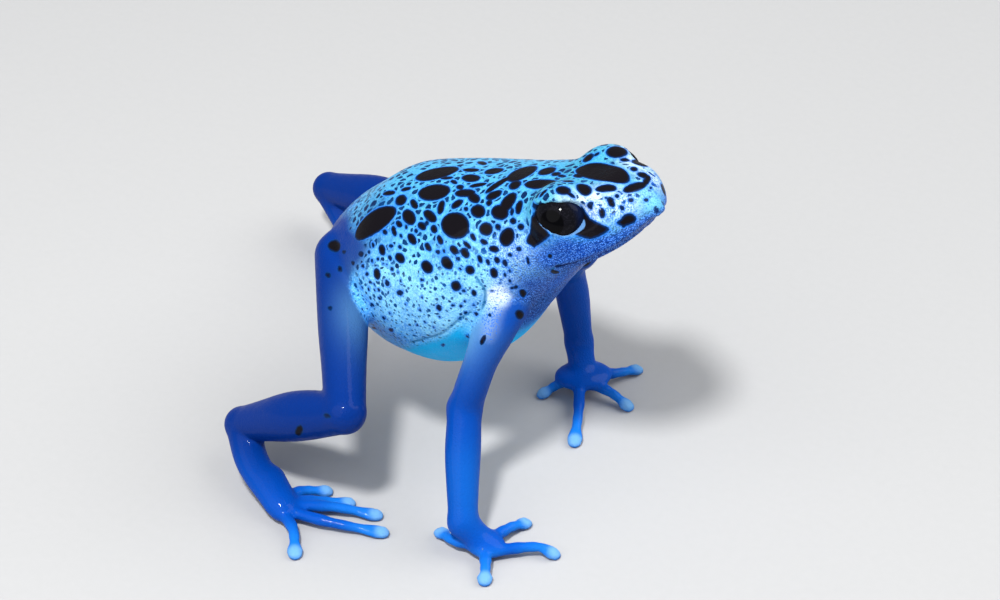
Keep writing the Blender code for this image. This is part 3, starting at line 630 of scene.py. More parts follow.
def eye_frame(side):
    """Centre of an eye and its three axes: outward, forward and up."""
    centre = from_body(EYE_PLACE[0], side * EYE_PLACE[1], EYE_PLACE[2])
    outward = math.cos(EYE_TURN) * side * SIDE + math.sin(EYE_TURN) * FORE
    outward = math.cos(EYE_LIFT) * outward + math.sin(EYE_LIFT) * UP
    forward = unit(FORE - outward * np.dot(FORE, outward))
    upward = np.cross(outward, forward) * -side
    return centre, outward, forward, upward


def eye_terms(side, points):
    """Distance from the middle of an eye, turn about its axis and lean away from the axis."""
    centre, outward, forward, upward = eye_frame(side)
    offset = points - centre
    ahead, raised, out = offset @ forward, offset @ upward, offset @ outward
    reach = np.sqrt(ahead ** 2 + raised ** 2 + out ** 2 + 1e-9)
    return reach, np.arctan2(raised, ahead), np.arctan2(np.hypot(ahead, raised), out)


def lid_opening(settings, eye_radius):
    """Lean of the lids' edge for even turns about the eye's axis: the outline in the photograph
    is laid on the ball, and only its slow waves are kept."""
    place, ray = view_rays(EYE_OPENING, settings)
    centre = eye_frame(RIGHT)[0]
    nearest = place + ray * (ray @ (centre - place))[:, None]
    gap = np.minimum(np.linalg.norm(nearest - centre, axis=1), eye_radius)
    points = nearest - ray * np.sqrt(eye_radius ** 2 - gap ** 2)[:, None]
    turn, lean = eye_terms(RIGHT, points)[1:]
    order = np.argsort(turn)
    even = np.linspace(-math.pi, math.pi, 256, endpoint=False)
    waves = np.fft.rfft(np.interp(even, turn[order], lean[order], period=2 * math.pi))
    waves[OPENING_WAVES:] = 0
    return even, np.fft.irfft(waves, 256)


def lid_terms(side, points, opening):
    """Distance from the middle of the eye, distance past the edge of the lid opening, and how
    far down the lids a point is, from -1 at the top to 1 at the bottom."""
    reach, turn, lean = eye_terms(side, points)
    past = lean - np.interp(turn, *opening, period=2 * math.pi)
    return reach, reach * np.sin(np.clip(past, -math.pi / 2, math.pi / 2)), -np.sin(turn)


def mouth_path(rise, inset):
    """Line round the snout from corner to corner, above or below the mouth line."""
    knots, heights = zip(MOUTH_CORNER, MOUTH_MIDDLE, MOUTH_FRONT)
    half = []
    for along in np.linspace(MOUTH_CORNER[0], BODY_LENGTH - 0.001, 400):
        above = smooth_through(min(along, MOUTH_FRONT[0]), knots, heights) + rise
        half.append((along, side_of_body(along, above), above))
    half = np.array(half)
    ended = np.flatnonzero(half[:, 1] <= 0)
    half = half[:ended[0] + 1] if len(ended) else half
    half[-1, 1] = 0.0
    run = np.concatenate([[0.0], np.cumsum(np.linalg.norm(np.diff(half, axis=0), axis=1))])
    spaced = np.linspace(0, run[-1], 12)
    half = np.stack([np.interp(spaced, run, half[:, axis]) for axis in range(3)], axis=1)
    inward = half[:, 1] / (half[:, 1] + 1.0)
    half[:, 1] -= inset * inward
    half[:, 0] -= inset * (1 - inward)
    right = [from_body(along, -aside, above) for along, aside, above in half[:-1]]
    left = [from_body(along, aside, above) for along, aside, above in half[::-1]]
    return right + left


def frog_form(settings, eye_radius):
    """Every shape that the skin is blended from or carved by."""
    arm_r = arm_shapes(SHOULDER_R, ELBOW_R, WRIST_R, PALM_R, PALM_SIZE_R, HAND_R, ARM_BOW_R)
    arm_l = arm_shapes(SHOULDER_L, ELBOW_L, WRIST_L, PALM_L, PALM_SIZE_L, HAND_L, ARM_BOW_L)
    leg_r = leg_shapes(HIP_R, KNEE_R, HEEL_R, BALL_R, FOOT_R, SHANK_BOW_R, TARSUS_BOW_R)
    leg_l = leg_shapes(HIP_L, KNEE_L, HEEL_L, BALL_L, FOOT_L, SHANK_BOW_L, TARSUS_BOW_L)
    head = []
    for side in (RIGHT, LEFT):
        centre, outward, forward, upward = eye_frame(side)
        head.append((ball(centre - LID_INSET * outward, (forward, upward, outward),
                          (LID_RADIUS * LID_LENGTH, LID_RADIUS, LID_RADIUS)), LID_BLEND))
    for rise in (LIP_RISE, -LIP_RISE):
        lip = tube(mouth_path(rise, LIP_INSET), LIP_STATIONS, LIP_SIZES, LIP_SIZES, UP, 96)
        head.append((lip, LIP_BLEND))
    return {"limbs": (arm_r, arm_l, leg_r, leg_l), "head": head, "holes": [], "mouth": [],
            "creases": [], "opening": lid_opening(settings, eye_radius)}


def skin_distance(points, form, eye_radius):
    """Signed distance to the skin in millimetres, negative inside."""
    distance = soft_min(body_distance(points), joined(points, form["head"]), LID_BLEND)
    for limb, blend in zip(form["limbs"], (ARM_BLEND, ARM_BLEND, LEG_BLEND, LEG_BLEND)):
        distance = soft_min(distance, joined(points, limb), blend)
    for groove, blend in form["creases"] + form["mouth"]:
        distance = soft_max(distance, -joined(points, [(groove, 0.01)]), blend)
    distance = soft_max(distance, -joined(points, form["holes"]), HOLE_BLEND)
    for side in (RIGHT, LEFT):
        centre = eye_frame(side)[0]
        near = np.flatnonzero(np.all(np.abs(points - centre) < LID_RADIUS + REACH, axis=1))
        reach, past, down = lid_terms(side, points[near], form["opening"])
        opening = np.maximum(past, eye_radius - CUP_DEPTH - reach)
        lids = soft_max(distance[near], -opening, LID_EDGE_BLEND)
        rim_radius = RIM_RADIUS * ramp(down, RIM_HIDDEN, RIM_WHOLE)
        rim = np.hypot(past - RIM_PAST, reach - eye_radius - RIM_OUT) - rim_radius
        rimmed = soft_min(lids, rim, RIM_BLEND)
        distance[near] = np.where(rim_radius > RIM_LEAST, rimmed, lids)
    return soft_max(distance, -points[:, 2], SOLE_BLEND)


def slope_of(points, distance, step=0.02):
    """Value and gradient of a distance, from four points at the corners of a small tetrahedron."""
    corners = np.array([[1, -1, -1], [-1, -1, 1], [-1, 1, -1], [1, 1, 1]], float)
    values = [distance(points + step * corner) for corner in corners]
    gradient = sum(corner * value[:, None] for corner, value in zip(corners, values))
    return sum(values) / 4, gradient / (4 * step)


def grid_lines(stretches, size):
    """Lines of a grid along one axis, from stretches with a start, an end and a share of the
    cell size."""
    lines = [np.arange(start, end - share * size / 2, share * size)
             for start, end, share in stretches]
    return np.concatenate(lines + [[stretches[-1][1]]])


def focused(points):
    """Grid places drawn together about both eyes: p - k (p - c) exp(-|p - c|^2 / (2 s^2))."""
    moved = points.copy()
    for side in (RIGHT, LEFT):
        offset = points - eye_frame(side)[0]
        near = np.exp(-(offset ** 2).sum(axis=1) / (2 * EYE_FOCUS_REACH ** 2))
        moved -= EYE_FOCUS * near[:, None] * offset
    return moved


def sampled(axes, distance, coarse=4, band=2.2):
    """Distance on the grid: worked out on every fourth line first, then on all the points of the
    coarse cells that lie within the band. Points far from the skin keep the coarse value."""
    rough_axes = [np.append(axis[::coarse], axis[-1]) for axis in axes]
    rough_points = np.stack(np.meshgrid(*rough_axes, indexing="ij"), axis=-1)
    rough = distance(focused(rough_points.reshape(-1, 3))).reshape(rough_points.shape[:3])
    fine_places = [np.minimum(np.arange(len(axis)) // coarse, len(rough_axes[n]) - 1)
                   for n, axis in enumerate(axes)]
    values = rough[np.ix_(*fine_places)].copy()
    near = np.argwhere(np.abs(values) < band)
    points = np.stack([axes[n][near[:, n]] for n in range(3)], axis=1)
    values[tuple(near.T)] = distance(focused(points))
    return values


def corner_parts(values):
    """The eight corners of every cell, as parts of the grid, each with its place in the cell."""
    return [((x, y, z), values[x:values.shape[0] - 1 + x, y:values.shape[1] - 1 + y,
                               z:values.shape[2] - 1 + z])
            for x in (0, 1) for y in (0, 1) for z in (0, 1)]


def settled(values, rounds=20, least=1e-4):
    """Values whose level passes every face and every cell of the grid at most once: where the
    corners of a face are inside and outside crosswise, or only two opposite corners of a cell
    differ from the rest, the one nearest the level changes its sign."""
    for _ in range(rounds):
        crosswise = 0
        parts = corner_parts(values < 0)
        count = sum(part.astype(np.uint8) for _, part in parts)
        for number, alone in ((2, True), (6, False)):
            for (place, one), (_, other) in zip(parts[:4], parts[:3:-1]):
                cell = np.argwhere((count == number) & (one == alone) & (other == alone))
                if len(cell):
                    crosswise += len(cell)
                    picked = np.unique(cell + np.array(place), axis=0)
                    values[tuple(picked.T)] = least if alone else -least
        for axis in range(3):
            one, two = [n for n in range(3) if n != axis]
            inside = values < 0
            corners = []
            for first, second in ((0, 0), (0, 1), (1, 1), (1, 0)):
                part = [slice(None)] * 3
                part[one] = slice(first, values.shape[one] - 1 + first)
                part[two] = slice(second, values.shape[two] - 1 + second)
                corners.append(inside[tuple(part)])
            crossed = (corners[0] == corners[2]) & (corners[1] == corners[3])
            face = np.argwhere(crossed & (corners[0] != corners[1]))
            if not len(face):
                continue
            crosswise += len(face)
            shifts = np.zeros((4, 3), int)
            shifts[:, one], shifts[:, two] = (0, 0, 1, 1), (0, 1, 1, 0)
            around = face[:, None, :] + shifts
            held = values[tuple(around.reshape(-1, 3).T)].reshape(-1, 4)
            picked = around[np.arange(len(face)), np.abs(held).argmin(axis=1)]
            picked = np.unique(picked, axis=0)
            old = values[tuple(picked.T)]
            values[tuple(picked.T)] = np.where(old < 0, least, -least)
        if not crosswise:
            break
    return values


def surface_nets(axes, values):
    """Closed quads of the zero level: one point in each cell that the level passes through, at
    the mean of the crossings on the cell's edges, and one quad round each crossed edge."""
    inside = values < 0
    cells = tuple(size - 1 for size in values.shape)
    corners = sum(part.astype(np.uint8) for _, part in corner_parts(inside))
    crossed = (corners > 0) & (corners < 8)
    cell = np.argwhere(crossed)
    number = np.full(cells, -1, np.int64)
    number[crossed] = np.arange(len(cell))
    total, hits = np.zeros((len(cell), 3)), np.zeros(len(cell))
    for axis in range(3):
        for first in (0, 1):
            for second in (0, 1):
                shift = np.zeros(3, int)
                shift[(axis + 1) % 3], shift[(axis + 2) % 3] = first, second
                start = cell + shift
                end = start + np.eye(3, dtype=int)[axis]
                before, after = values[tuple(start.T)], values[tuple(end.T)]
                hit = (before < 0) != (after < 0)
                share = np.where(hit, before / np.where(hit, before - after, 1.0), 0.0)
                low = np.stack([axes[n][start[:, n]] for n in range(3)], axis=1)
                high = np.stack([axes[n][end[:, n]] for n in range(3)], axis=1)
                point = low + (high - low) * share[:, None]
                total[hit] += point[hit]
                hits[hit] += 1
    quads = []
    for axis in range(3):
        step, one, two = np.eye(3, dtype=int)[[axis, (axis + 1) % 3, (axis + 2) % 3]]
        low = np.take(inside, range(inside.shape[axis] - 1), axis=axis)
        high = np.take(inside, range(1, inside.shape[axis]), axis=axis)
        edge = np.argwhere(low != high)
        starts_inside = inside[tuple(edge.T)]
        ring = [number[tuple((edge - away).T)] for away in (one + two, two, 0 * step, one)]
        ring = np.stack(ring, axis=1)
        quads.append(np.where(starts_inside[:, None], ring, ring[:, ::-1]))
    return focused(total / hits[:, None]), np.concatenate(quads)


def relaxed(points, quads, distance, rounds=5):
    """Points slid along the skin towards the mean of their neighbours, and each round put back
    on the zero level by one step down the slope: p - f g / |g|^2."""
    pairs = np.concatenate([quads[:, [n, (n + 1) % 4]] for n in range(4)])
    pairs = np.concatenate([pairs, pairs[:, ::-1]])
    count = np.bincount(pairs[:, 0], minlength=len(points))[:, None]
    for turn in range(rounds):
        value, gradient = slope_of(points, distance)
        square = (gradient ** 2).sum(axis=1, keepdims=True) + 1e-9
        points = points - np.clip(value[:, None] / square, -STEP_LIMIT, STEP_LIMIT) * gradient
        if turn < rounds - 2:
            mean = np.stack([np.bincount(pairs[:, 0], points[pairs[:, 1], n], len(points))
                             for n in range(3)], axis=1) / count
            move = mean - points
            move -= gradient * ((move * gradient).sum(axis=1, keepdims=True) / square)
            points = points + SLIDE * move
    normal = unit(slope_of(points, distance)[1])
    points[:, 2] = np.maximum(points[:, 2], 0.0)
    return points, normal


def view_axes(settings):
    """Camera place and its right, up and backward directions, in the model's own frame."""
    turn, lift = settings.azimuth, settings.elevation
    back = np.array([math.sin(turn) * math.cos(lift), -math.cos(turn) * math.cos(lift),
                     math.sin(lift)])
    right = np.array([math.cos(turn), math.sin(turn), 0.0])
    return VIEW_TARGET + back * settings.distance / MM, right, np.cross(back, right), back


def focal_pixels(settings):
    """Focal length of the view in pixels."""
    return settings.lens / SENSOR * VIEW_WIDTH


def view_rays(pixels, settings):
    """Camera place and the directions through the given pixels."""
    place, right, up, back = view_axes(settings)
    focal = focal_pixels(settings)
    pixels = np.asarray(pixels, float)
    return place, unit(-back + (pixels[:, :1] - VIEW_WIDTH / 2) / focal * right
                       + (VIEW_HEIGHT / 2 - pixels[:, 1:]) / focal * up)


def cast(pixels, settings, distance, rounds=90):
    """First points of the skin behind the given pixels, found by stepping along each ray by the
    distance left, and whether each was found."""
    place, ray = view_rays(pixels, settings)
    gone = np.full(len(pixels), settings.distance / MM - SEARCH)
    for _ in range(rounds):
        gone += STRIDE * distance(place + ray * gone[:, None])
    points = place + ray * gone[:, None]
    return points, (np.abs(distance(points)) < CLOSE) & (gone < settings.distance / MM + SEARCH)


def placed_spots(rows, settings, distance):
    """Spots laid on the skin from their pixel places: middle, half axes and outward normal."""
    rows = np.asarray(rows, float)
    tilt = np.radians(rows[:, 4])
    lengthwise = np.stack([np.cos(tilt), np.sin(tilt)], axis=1)
    crosswise = np.stack([-np.sin(tilt), np.cos(tilt)], axis=1)
    middle, found = cast(rows[:, :2], settings, distance)
    normal = unit(slope_of(middle, distance)[1])
    right, up, back = view_axes(settings)[1:]
    scale = focal_pixels(settings) / (settings.distance / MM)
    arms = []
    for pixels, size in ((lengthwise, rows[:, 2]), (crosswise, rows[:, 3])):
        flat = pixels * size[:, None] / 2
        both = [cast(rows[:, :2] + sign * flat, settings, distance) for sign in (1, -1)]
        arm = (both[0][0] - both[1][0]) / 2
        sure = np.linalg.norm(arm, axis=1) < size / scale * STRETCH_LIMIT
        sure = both[0][1] & both[1][1] & sure
        level = (flat[:, :1] * right - flat[:, 1:] * up) / scale
        facing = np.maximum(normal @ back, LEAST_FACING)[:, None]
        laid = level + back * (-(level * normal).sum(axis=1, keepdims=True) / facing)
        arms.append(np.where(sure[:, None], arm, laid))
    return [(middle[n], arms[0][n], arms[1][n], normal[n]) for n in np.flatnonzero(found)]


def spot_distance(spot, points):
    """Distance along the skin to the edge of one oval spot, negative inside it."""
    middle, length, width, normal = spot
    deep = normal * (0.6 + min(np.linalg.norm(length), np.linalg.norm(width)))
    terms = (points - middle) @ np.linalg.inv(np.stack([length, width, deep]))
    rho = np.sqrt((terms ** 2).sum(axis=1))
    reach = np.linalg.norm(points - middle, axis=1) + 1e-4
    return reach * (1 - 1 / np.maximum(rho, 1e-4))


def add_spot(field, spot, points, blend=0.12):
    """Joins one spot to the field of all spots, near it only."""
    span = 2.0 + 2.2 * max(np.linalg.norm(spot[1]), np.linalg.norm(spot[2]))
    near = np.flatnonzero(np.all(np.abs(points - spot[0]) < span, axis=1))
    field[near] = soft_min(field[near], spot_distance(spot, points[near]), blend)


def ring_distance(ring, flat):
    """Distance in a plane to a closed ring of corners, negative inside it."""
    after = np.roll(ring, -1, axis=0)
    edge = after - ring
    offset = flat[:, None, :] - ring
    share = np.clip((offset * edge).sum(axis=2) / (edge ** 2).sum(axis=1), 0.0, 1.0)
    away = np.linalg.norm(offset - share[..., None] * edge, axis=2).min(axis=1)
    spans = (ring[:, 1] > flat[:, 1:]) != (after[:, 1] > flat[:, 1:])
    slope = edge[:, 0] / np.where(edge[:, 1] == 0, 1e-9, edge[:, 1])
    beyond = flat[:, :1] < ring[:, 0] + (flat[:, 1:] - ring[:, 1]) * slope
    inside = (spans & beyond).sum(axis=1) % 2 == 1
    return np.where(inside, -away, away)


def outline_distance(corners, points, depth=1.4):
    """Distance to a closed outline laid on the skin, negative inside it, measured in the plane
    that fits its corners best and no further than the depth from that plane."""
    centre = corners.mean(axis=0)
    normal = np.linalg.svd(corners - centre)[2][2]
    first = unit(np.cross(normal, [0.3, 0.2, 1.0]))
    second = np.cross(normal, first)
    flat = np.stack([(points - centre) @ first, (points - centre) @ second], axis=1)
    ring = np.stack([(corners - centre) @ first, (corners - centre) @ second], axis=1)
    return np.maximum(ring_distance(ring, flat), np.abs((points - centre) @ normal) - depth)


def both_sides(points):
    """Points as they are, and mirrored to the other side of the body."""
    return points, points * MIRROR


def seen_at(points, settings):
    """Pixels of the photograph at which points of the model lie, with those of the left side
    mirrored to the right side first."""
    place, right, up, back = view_axes(settings)
    offset = np.where(points[:, 1:2] > 0, points * MIRROR, points) - place
    focal = focal_pixels(settings)
    deep = -(offset @ back)
    return np.stack([VIEW_WIDTH / 2 + focal * (offset @ right) / deep,
                     VIEW_HEIGHT / 2 - focal * (offset @ up) / deep], axis=1)


def outline_field(outlines, points, settings, distance):
    """Distance to the nearest of some outlines given in pixels, on both sides of the body."""
    field = np.full(len(points), FAR)
    for pixels in outlines:
        corners, found = cast(pixels, settings, distance)
        for laid in both_sides(corners[found]):
            near = np.flatnonzero(np.all((points > laid.min(axis=0) - 2.5)
                                         & (points < laid.max(axis=0) + 2.5), axis=1))
            field[near] = np.minimum(field[near], outline_distance(laid, points[near]))
    return field


def mirrored(spot, distance, random):
    """Copy of a spot on the other side of the body, a little moved, turned and resized."""
    middle, length, width, normal = np.array(spot) * MIRROR
    middle = middle + random.normal(0, COPY_MOVE, 3)
    for _ in range(4):
        value, gradient = slope_of(middle[None], distance)
        middle = middle - value[0] * gradient[0] / (gradient[0] @ gradient[0])
    normal = unit(slope_of(middle[None], distance)[1])[0]
    turn = random.normal(0, COPY_TURN)
    length, width = (length * math.cos(turn) + width * math.sin(turn),
                     width * math.cos(turn) - length * math.sin(turn))
    grow = random.uniform(*COPY_SIZES)
    flat = [(arm - normal * (arm @ normal)) * grow for arm in (length, width)]
    return middle, flat[0], flat[1], normal


def spot_field(points, normals, settings, distance):
    """Distance to the edge of the nearest dark spot, in millimetres, at every point of the skin:
    the masks by the eyes, the placed spots, their mirrored copies where there is room, and
    seeded small ones where the photograph doesn't show the skin."""
    random = np.random.default_rng(SEED)
    field = outline_field(MASKS, points, settings, distance)
    spots = placed_spots(SPOTS, settings, distance)
    for spot in spots:
        add_spot(field, spot, points)
    back = view_axes(settings)[3]
    along = body_terms(points)[0]
    facing = unit(slope_of(points, body_distance)[1]) @ back
    shown = facing > SHOWN_FACING
    for spot in spots:
        on_head = body_terms(spot[0])[0] > HEAD_START
        off_body = body_distance(spot[0][None])[0]
        if abs(spot[0][1]) < MIDDLE_STRIP or off_body > SPOT_OFF_BODY:
            continue
        copy = np.array(spot) * MIRROR if on_head else mirrored(spot, distance, random)
        radius = math.sqrt(np.linalg.norm(copy[1]) * np.linalg.norm(copy[2]))
        away = np.linalg.norm(points - copy[0], axis=1)
        nearest = away.argmin()
        reach = max(radius, away[nearest])
        if on_head:
            reach = max(reach, 1.2 * np.linalg.norm(copy[1]), 1.2 * np.linalg.norm(copy[2]))
        hidden = facing[away <= reach].max() < SHOWN_FACING
        if hidden and field[nearest] > radius * 0.9 + 0.1:
            add_spot(field, copy, points)
    room = (body_distance(points) < ROOM_OFF_BODY) & (along < HEAD_START + 1.0) & ~shown
    for radius, tries in SEEDED_SPOTS:
        for pick in random.choice(np.flatnonzero(room), tries, replace=False):
            size = radius * random.uniform(0.8, 1.2)
            if field[pick] < size + SEEDED_GAP:
                continue
            lengthwise = unit(np.cross(normals[pick], random.normal(0, 1, 3)))
            crosswise = np.cross(normals[pick], lengthwise)
            spot = (points[pick], lengthwise * size * random.uniform(1.0, 1.4), crosswise * size,
                    normals[pick])
            add_spot(field, spot, points)
    return field


def new_mesh(name, points, faces, smooth=True):
    """Object from points in millimetres and lists of faces, put in its place in metres."""
    mesh = bpy.data.meshes.new(name)
    mesh.from_pydata(((points + SHIFT) * MM).tolist(), [], faces)
    mesh.polygons.foreach_set("use_smooth", np.full(len(faces), smooth))
    obj = bpy.data.objects.new(name, mesh)
    bpy.context.scene.collection.objects.link(obj)
    return obj


def write_values(obj, name, values):
    """Stores one number or one colour for each point of a mesh."""
    if values.ndim == 1:
        obj.data.attributes.new(name, "FLOAT", "POINT").data.foreach_set("value", values)
        return
    colour = np.concatenate([values, np.ones((len(values), 1))], axis=1)
    obj.data.attributes.new(name, "FLOAT_COLOR", "POINT").data.foreach_set("color", colour.ravel())


def mixed(ground, colour, weight):
    """Colours moved towards one colour by a weight for each point."""
    return ground + (np.asarray(colour) - ground) * weight[:, None]


def ground_colours(points, look, distance, view):
    """Colour under the markings: teal blue back, paler flanks, royal blue cheeks, rump and
    limbs, lighter hands and feet, pale digit tips, and the soft patches on both sides. The
    teal of the back and crown is partly a painted reflection of green surroundings, the rump,
    thigh, chest and limbs are darkened partly as painted shade, the arms are lightened partly
    as a painted highlight, and some white patches by the eye are partly painted wet highlights."""
    along, _, above = body_terms(points)
    middle, rise, drop = smooth_through(along, BODY[:, 0], BODY[:, 1:4]).T
    level = np.where(above > middle, (above - middle) / rise, (above - middle) / drop)
    seen = seen_at(points, view)
    scale = focal_pixels(view) / (view.distance / MM)
    off_body, height = body_distance(points), points[:, 2]
    limb = ramp(off_body, *LIMB_OFF_BODY) * ramp(along, *LIMB_ALONG)
    limb = np.maximum(limb, ramp(height, *LIMB_OVER_FLOOR))
    thigh = ring_distance(np.array(THIGH), seen) / scale
    soft = 0.2 + 0.5 * ramp(seen[:, 1], *THIGH_SOFT_ROW)
    thigh = ramp(thigh / soft, 1.0, -1.0) * ramp(along, *THIGH_ALONG)
    thigh = thigh * ramp(height, *THIGH_OVER_FLOOR)
    groin = ramp(points[:, 0], *GROIN_AHEAD) * ramp(height, *GROIN_OVER_FLOOR) * (1 - thigh)
    limb = limb * (1 - groin * ramp(off_body, *GROIN_OFF_BODY))
    # Painted shade: the chest and throat take the darker cheek and limb blues, partly their own
    # colour and partly painted shade.
    chest_blue_and_shade = ramp(along, *CHEST_ALONG) * ramp(level, *CHEST_LEVEL)
    cheek = np.maximum(ramp(along, *CHEEK_ALONG) * ramp(level, *CHEEK_LEVEL), chest_blue_and_shade) * (1 - limb)
    face = ramp(along, *FACE_ALONG) * ramp(level, *FACE_LEVEL)
    # Painted reflection: the crown's teal, mixed in from the face colour, is partly a painted
    # reflection of green surroundings.
    crown = ramp(along, *CROWN_ALONG) * ramp(level, *CROWN_LEVEL)
    ground = np.tile(np.asarray(look.flank), (len(points), 1))
    for name, weight in (
            # Painted reflection: the teal of the back is partly its own colour and partly a painted
            # reflection of green surroundings.
            ("back", ramp(level, *BACK_LEVEL)),
            # Painted shade: the rump's dark blue is partly its own colour and partly painted shade.
            ("rump", ramp(along, *RUMP_ALONG) * ramp(level, *RUMP_LEVEL)),
            ("face", 0.6 * crown), ("cheek", cheek), ("limb", 0.6 * chest_blue_and_shade), ("face", face),
            # Painted shade: the thigh and the limbs take dark blues that are partly their own
            # colour and partly painted shade.
            ("rump", thigh), ("limb", limb),
            # Painted highlight: the arms are lightened towards the hands' blue, partly as a painted
            # highlight.
            ("hand", 0.6 * limb * ramp(points[:, 0], *HAND_AHEAD)),
            ("hand", limb * ramp(height, *HAND_OVER_FLOOR))):
        ground = mixed(ground, getattr(look, name), weight)
    tips = np.full(len(points), FAR)
    for digit in HAND_R + HAND_L + FOOT_R + FOOT_L:
        tips = np.minimum(tips, np.linalg.norm(points - np.array(digit[2]), axis=1))
    ground = mixed(ground, look.digit,
                   ramp(tips, *DIGIT_FROM_TIP) * ramp(height, *DIGIT_OVER_FLOOR))
    ground = mixed(ground, look.tip,
                   0.85 * ramp(tips, *TIP_FROM_TIP) * ramp(height, *TIP_OVER_FLOOR))
    low = ramp(seen[:, 1], *SHOULDER_ROW)
    patch = outline_field((SHOULDER,), points, view, distance) / (0.35 + 0.45 * low)
    patch = ramp(patch, 0.9, -1.0)
    fleck = patch * (0.35 + 0.35 * low)
    # Some patches are painted light: white ones by the eye and those on the forearm are partly
    # painted highlights, the rump ones on the hip partly painted shade.
    places = cast([row[:2] for row in PATCHES], view, distance)[0]
    for place, (radius, colour, strength, flecked) in zip(places, (row[2:] for row in PATCHES)):
        for laid in both_sides(place):
            away = np.linalg.norm(points - laid, axis=1)
            weight = strength * np.exp(-(away / radius) ** 2)
            ground = mixed(ground, getattr(look, colour), weight)
            if colour == "cheek":
                cheek = np.maximum(cheek, weight * (1 - limb))
            fleck = np.maximum(fleck, weight * flecked)
    limb = np.maximum(limb, thigh)
    ground = mixed(ground, look.white, patch * (0.97 - 0.80 * low))
    under = ramp(ring_distance(np.array(BELLY), seen) / scale, 0.0, -0.8)
    under = np.maximum(under, ramp(level, *BELLY_LEVEL)) * (1 - limb) * ramp(along, *BELLY_ALONG)
    ground = mixed(ground, look.belly, under)
    return {"ground": ground, "level": level, "limb": limb, "cheek": cheek, "face": face,
            "fleck": fleck, "patch": patch, "under": under}


def wire(tree, node, **values):
    """Sets a node's inputs by name: a socket is linked, anything else becomes its value."""
    for name, value in values.items():
        socket = node.inputs[int(name[1:])] if name[0] == "i" and name[1:].isdigit() else \
            node.inputs[name.replace("_", " ")]
        if isinstance(value, bpy.types.NodeSocket):
            tree.links.new(value, socket)
        else:
            socket.default_value = value
    return node


def math_node(tree, operation, *values, clamp=False):
    """Output of one math step."""
    node = tree.nodes.new("ShaderNodeMath")
    node.operation, node.use_clamp = operation, clamp
    return wire(tree, node, **{f"i{n}": value for n, value in enumerate(values)}).outputs[0]


def ramp_node(tree, value, start, end, low=0.0, high=1.0):
    """Output that goes smoothly from low to high while the value goes from start to end."""
    node = tree.nodes.new("ShaderNodeMapRange")
    node.interpolation_type = "SMOOTHSTEP"
    wire(tree, node, Value=value, From_Min=start, From_Max=end, To_Min=low, To_Max=high)
    return node.outputs["Result"]


def colour_mix(tree, factor, first, second):
    """Output of a colour mix."""
    node = tree.nodes.new("ShaderNodeMix")
    node.data_type = "RGBA"
    for socket, value in zip((node.inputs[0], node.inputs[6], node.inputs[7]),
                             (factor, first, second)):
        if isinstance(value, bpy.types.NodeSocket):
            tree.links.new(value, socket)
        else:
            socket.default_value = value if isinstance(value, float) else (*value, 1.0)
    return node.outputs[2]


def attribute(tree, name, output="Fac"):
    """Output of a stored value or colour."""
    node = tree.nodes.new("ShaderNodeAttribute")
    node.attribute_name = name
    return node.outputs[output]


def noise_node(tree, place, scale, detail, roughness=0.5):
    """Outputs of a noise: a number and a colour."""
    node = tree.nodes.new("ShaderNodeTexNoise")
    return wire(tree, node, Vector=place, Scale=scale, Detail=detail, Roughness=roughness).outputs


def voronoi_node(tree, given, feature="F1", **values):
    """Outputs of a Voronoi texture at the place and scale given to a group."""
    node = tree.nodes.new("ShaderNodeTexVoronoi")
    node.feature = feature
    return wire(tree, node, Vector=given["Place"], Scale=given["Scale"], **values).outputs


def new_group(name, results, **numbers):
    """Empty shader node group that takes a place and some numbers and gives numbers."""
    tree = bpy.data.node_groups.new(name, "ShaderNodeTree")
    tree.interface.new_socket("Place", in_out="INPUT", socket_type="NodeSocketVector")
    for label, value in numbers.items():
        socket = tree.interface.new_socket(label, in_out="INPUT", socket_type="NodeSocketFloat")
        socket.default_value = value
    for label in results:
        tree.interface.new_socket(label, in_out="OUTPUT", socket_type="NodeSocketFloat")
    return tree, tree.nodes.new("NodeGroupInput").outputs, tree.nodes.new("NodeGroupOutput")


def dots_group():
    """Round dots of uneven size: a Voronoi distance is compared with a radius that each cell
    draws between a least and a most value. Shade is a second draw of each cell."""
    tree, given, result = new_group("skin dots", ("Mask", "Shade"), Scale=1.5, Least=0.1,
                                    Most=0.35, Softness=0.06)
    cells = voronoi_node(tree, given, Randomness=0.85)
    draws = wire(tree, tree.nodes.new("ShaderNodeSeparateColor"), i0=cells["Color"]).outputs
    span = math_node(tree, "SUBTRACT", given["Most"], given["Least"])
    draw = math_node(tree, "POWER", draws[0], 1.3)
    radius = math_node(tree, "MULTIPLY_ADD", draw, span, given["Least"])
    past = math_node(tree, "SUBTRACT", radius, cells["Distance"])
    soft = math_node(tree, "DIVIDE", past, given["Softness"])
    wire(tree, result, Mask=math_node(tree, "ADD", soft, 0.5, clamp=True), Shade=draws[1])
    return tree


def grain_group():
    """Fine rounded granules with a slow unevenness: one minus a smooth Voronoi distance, times
    a noise. Height is 0 in the furrows and 1 on top of a granule."""
    tree, given, result = new_group("skin grain", ("Height", "Mottle"), Scale=4.5,
                                    Unevenness=0.5)
    cells = voronoi_node(tree, given, "SMOOTH_F1", Smoothness=0.35)
    mottle = noise_node(tree, given["Place"], 1.2, 3.0)[0]
    top = ramp_node(tree, cells["Distance"], 0.62, 0.12)
    uneven = math_node(tree, "MULTIPLY_ADD", mottle, given["Unevenness"], 0.6)
    wire(tree, result, Height=times(tree, top, uneven), Mottle=mottle)
    return tree


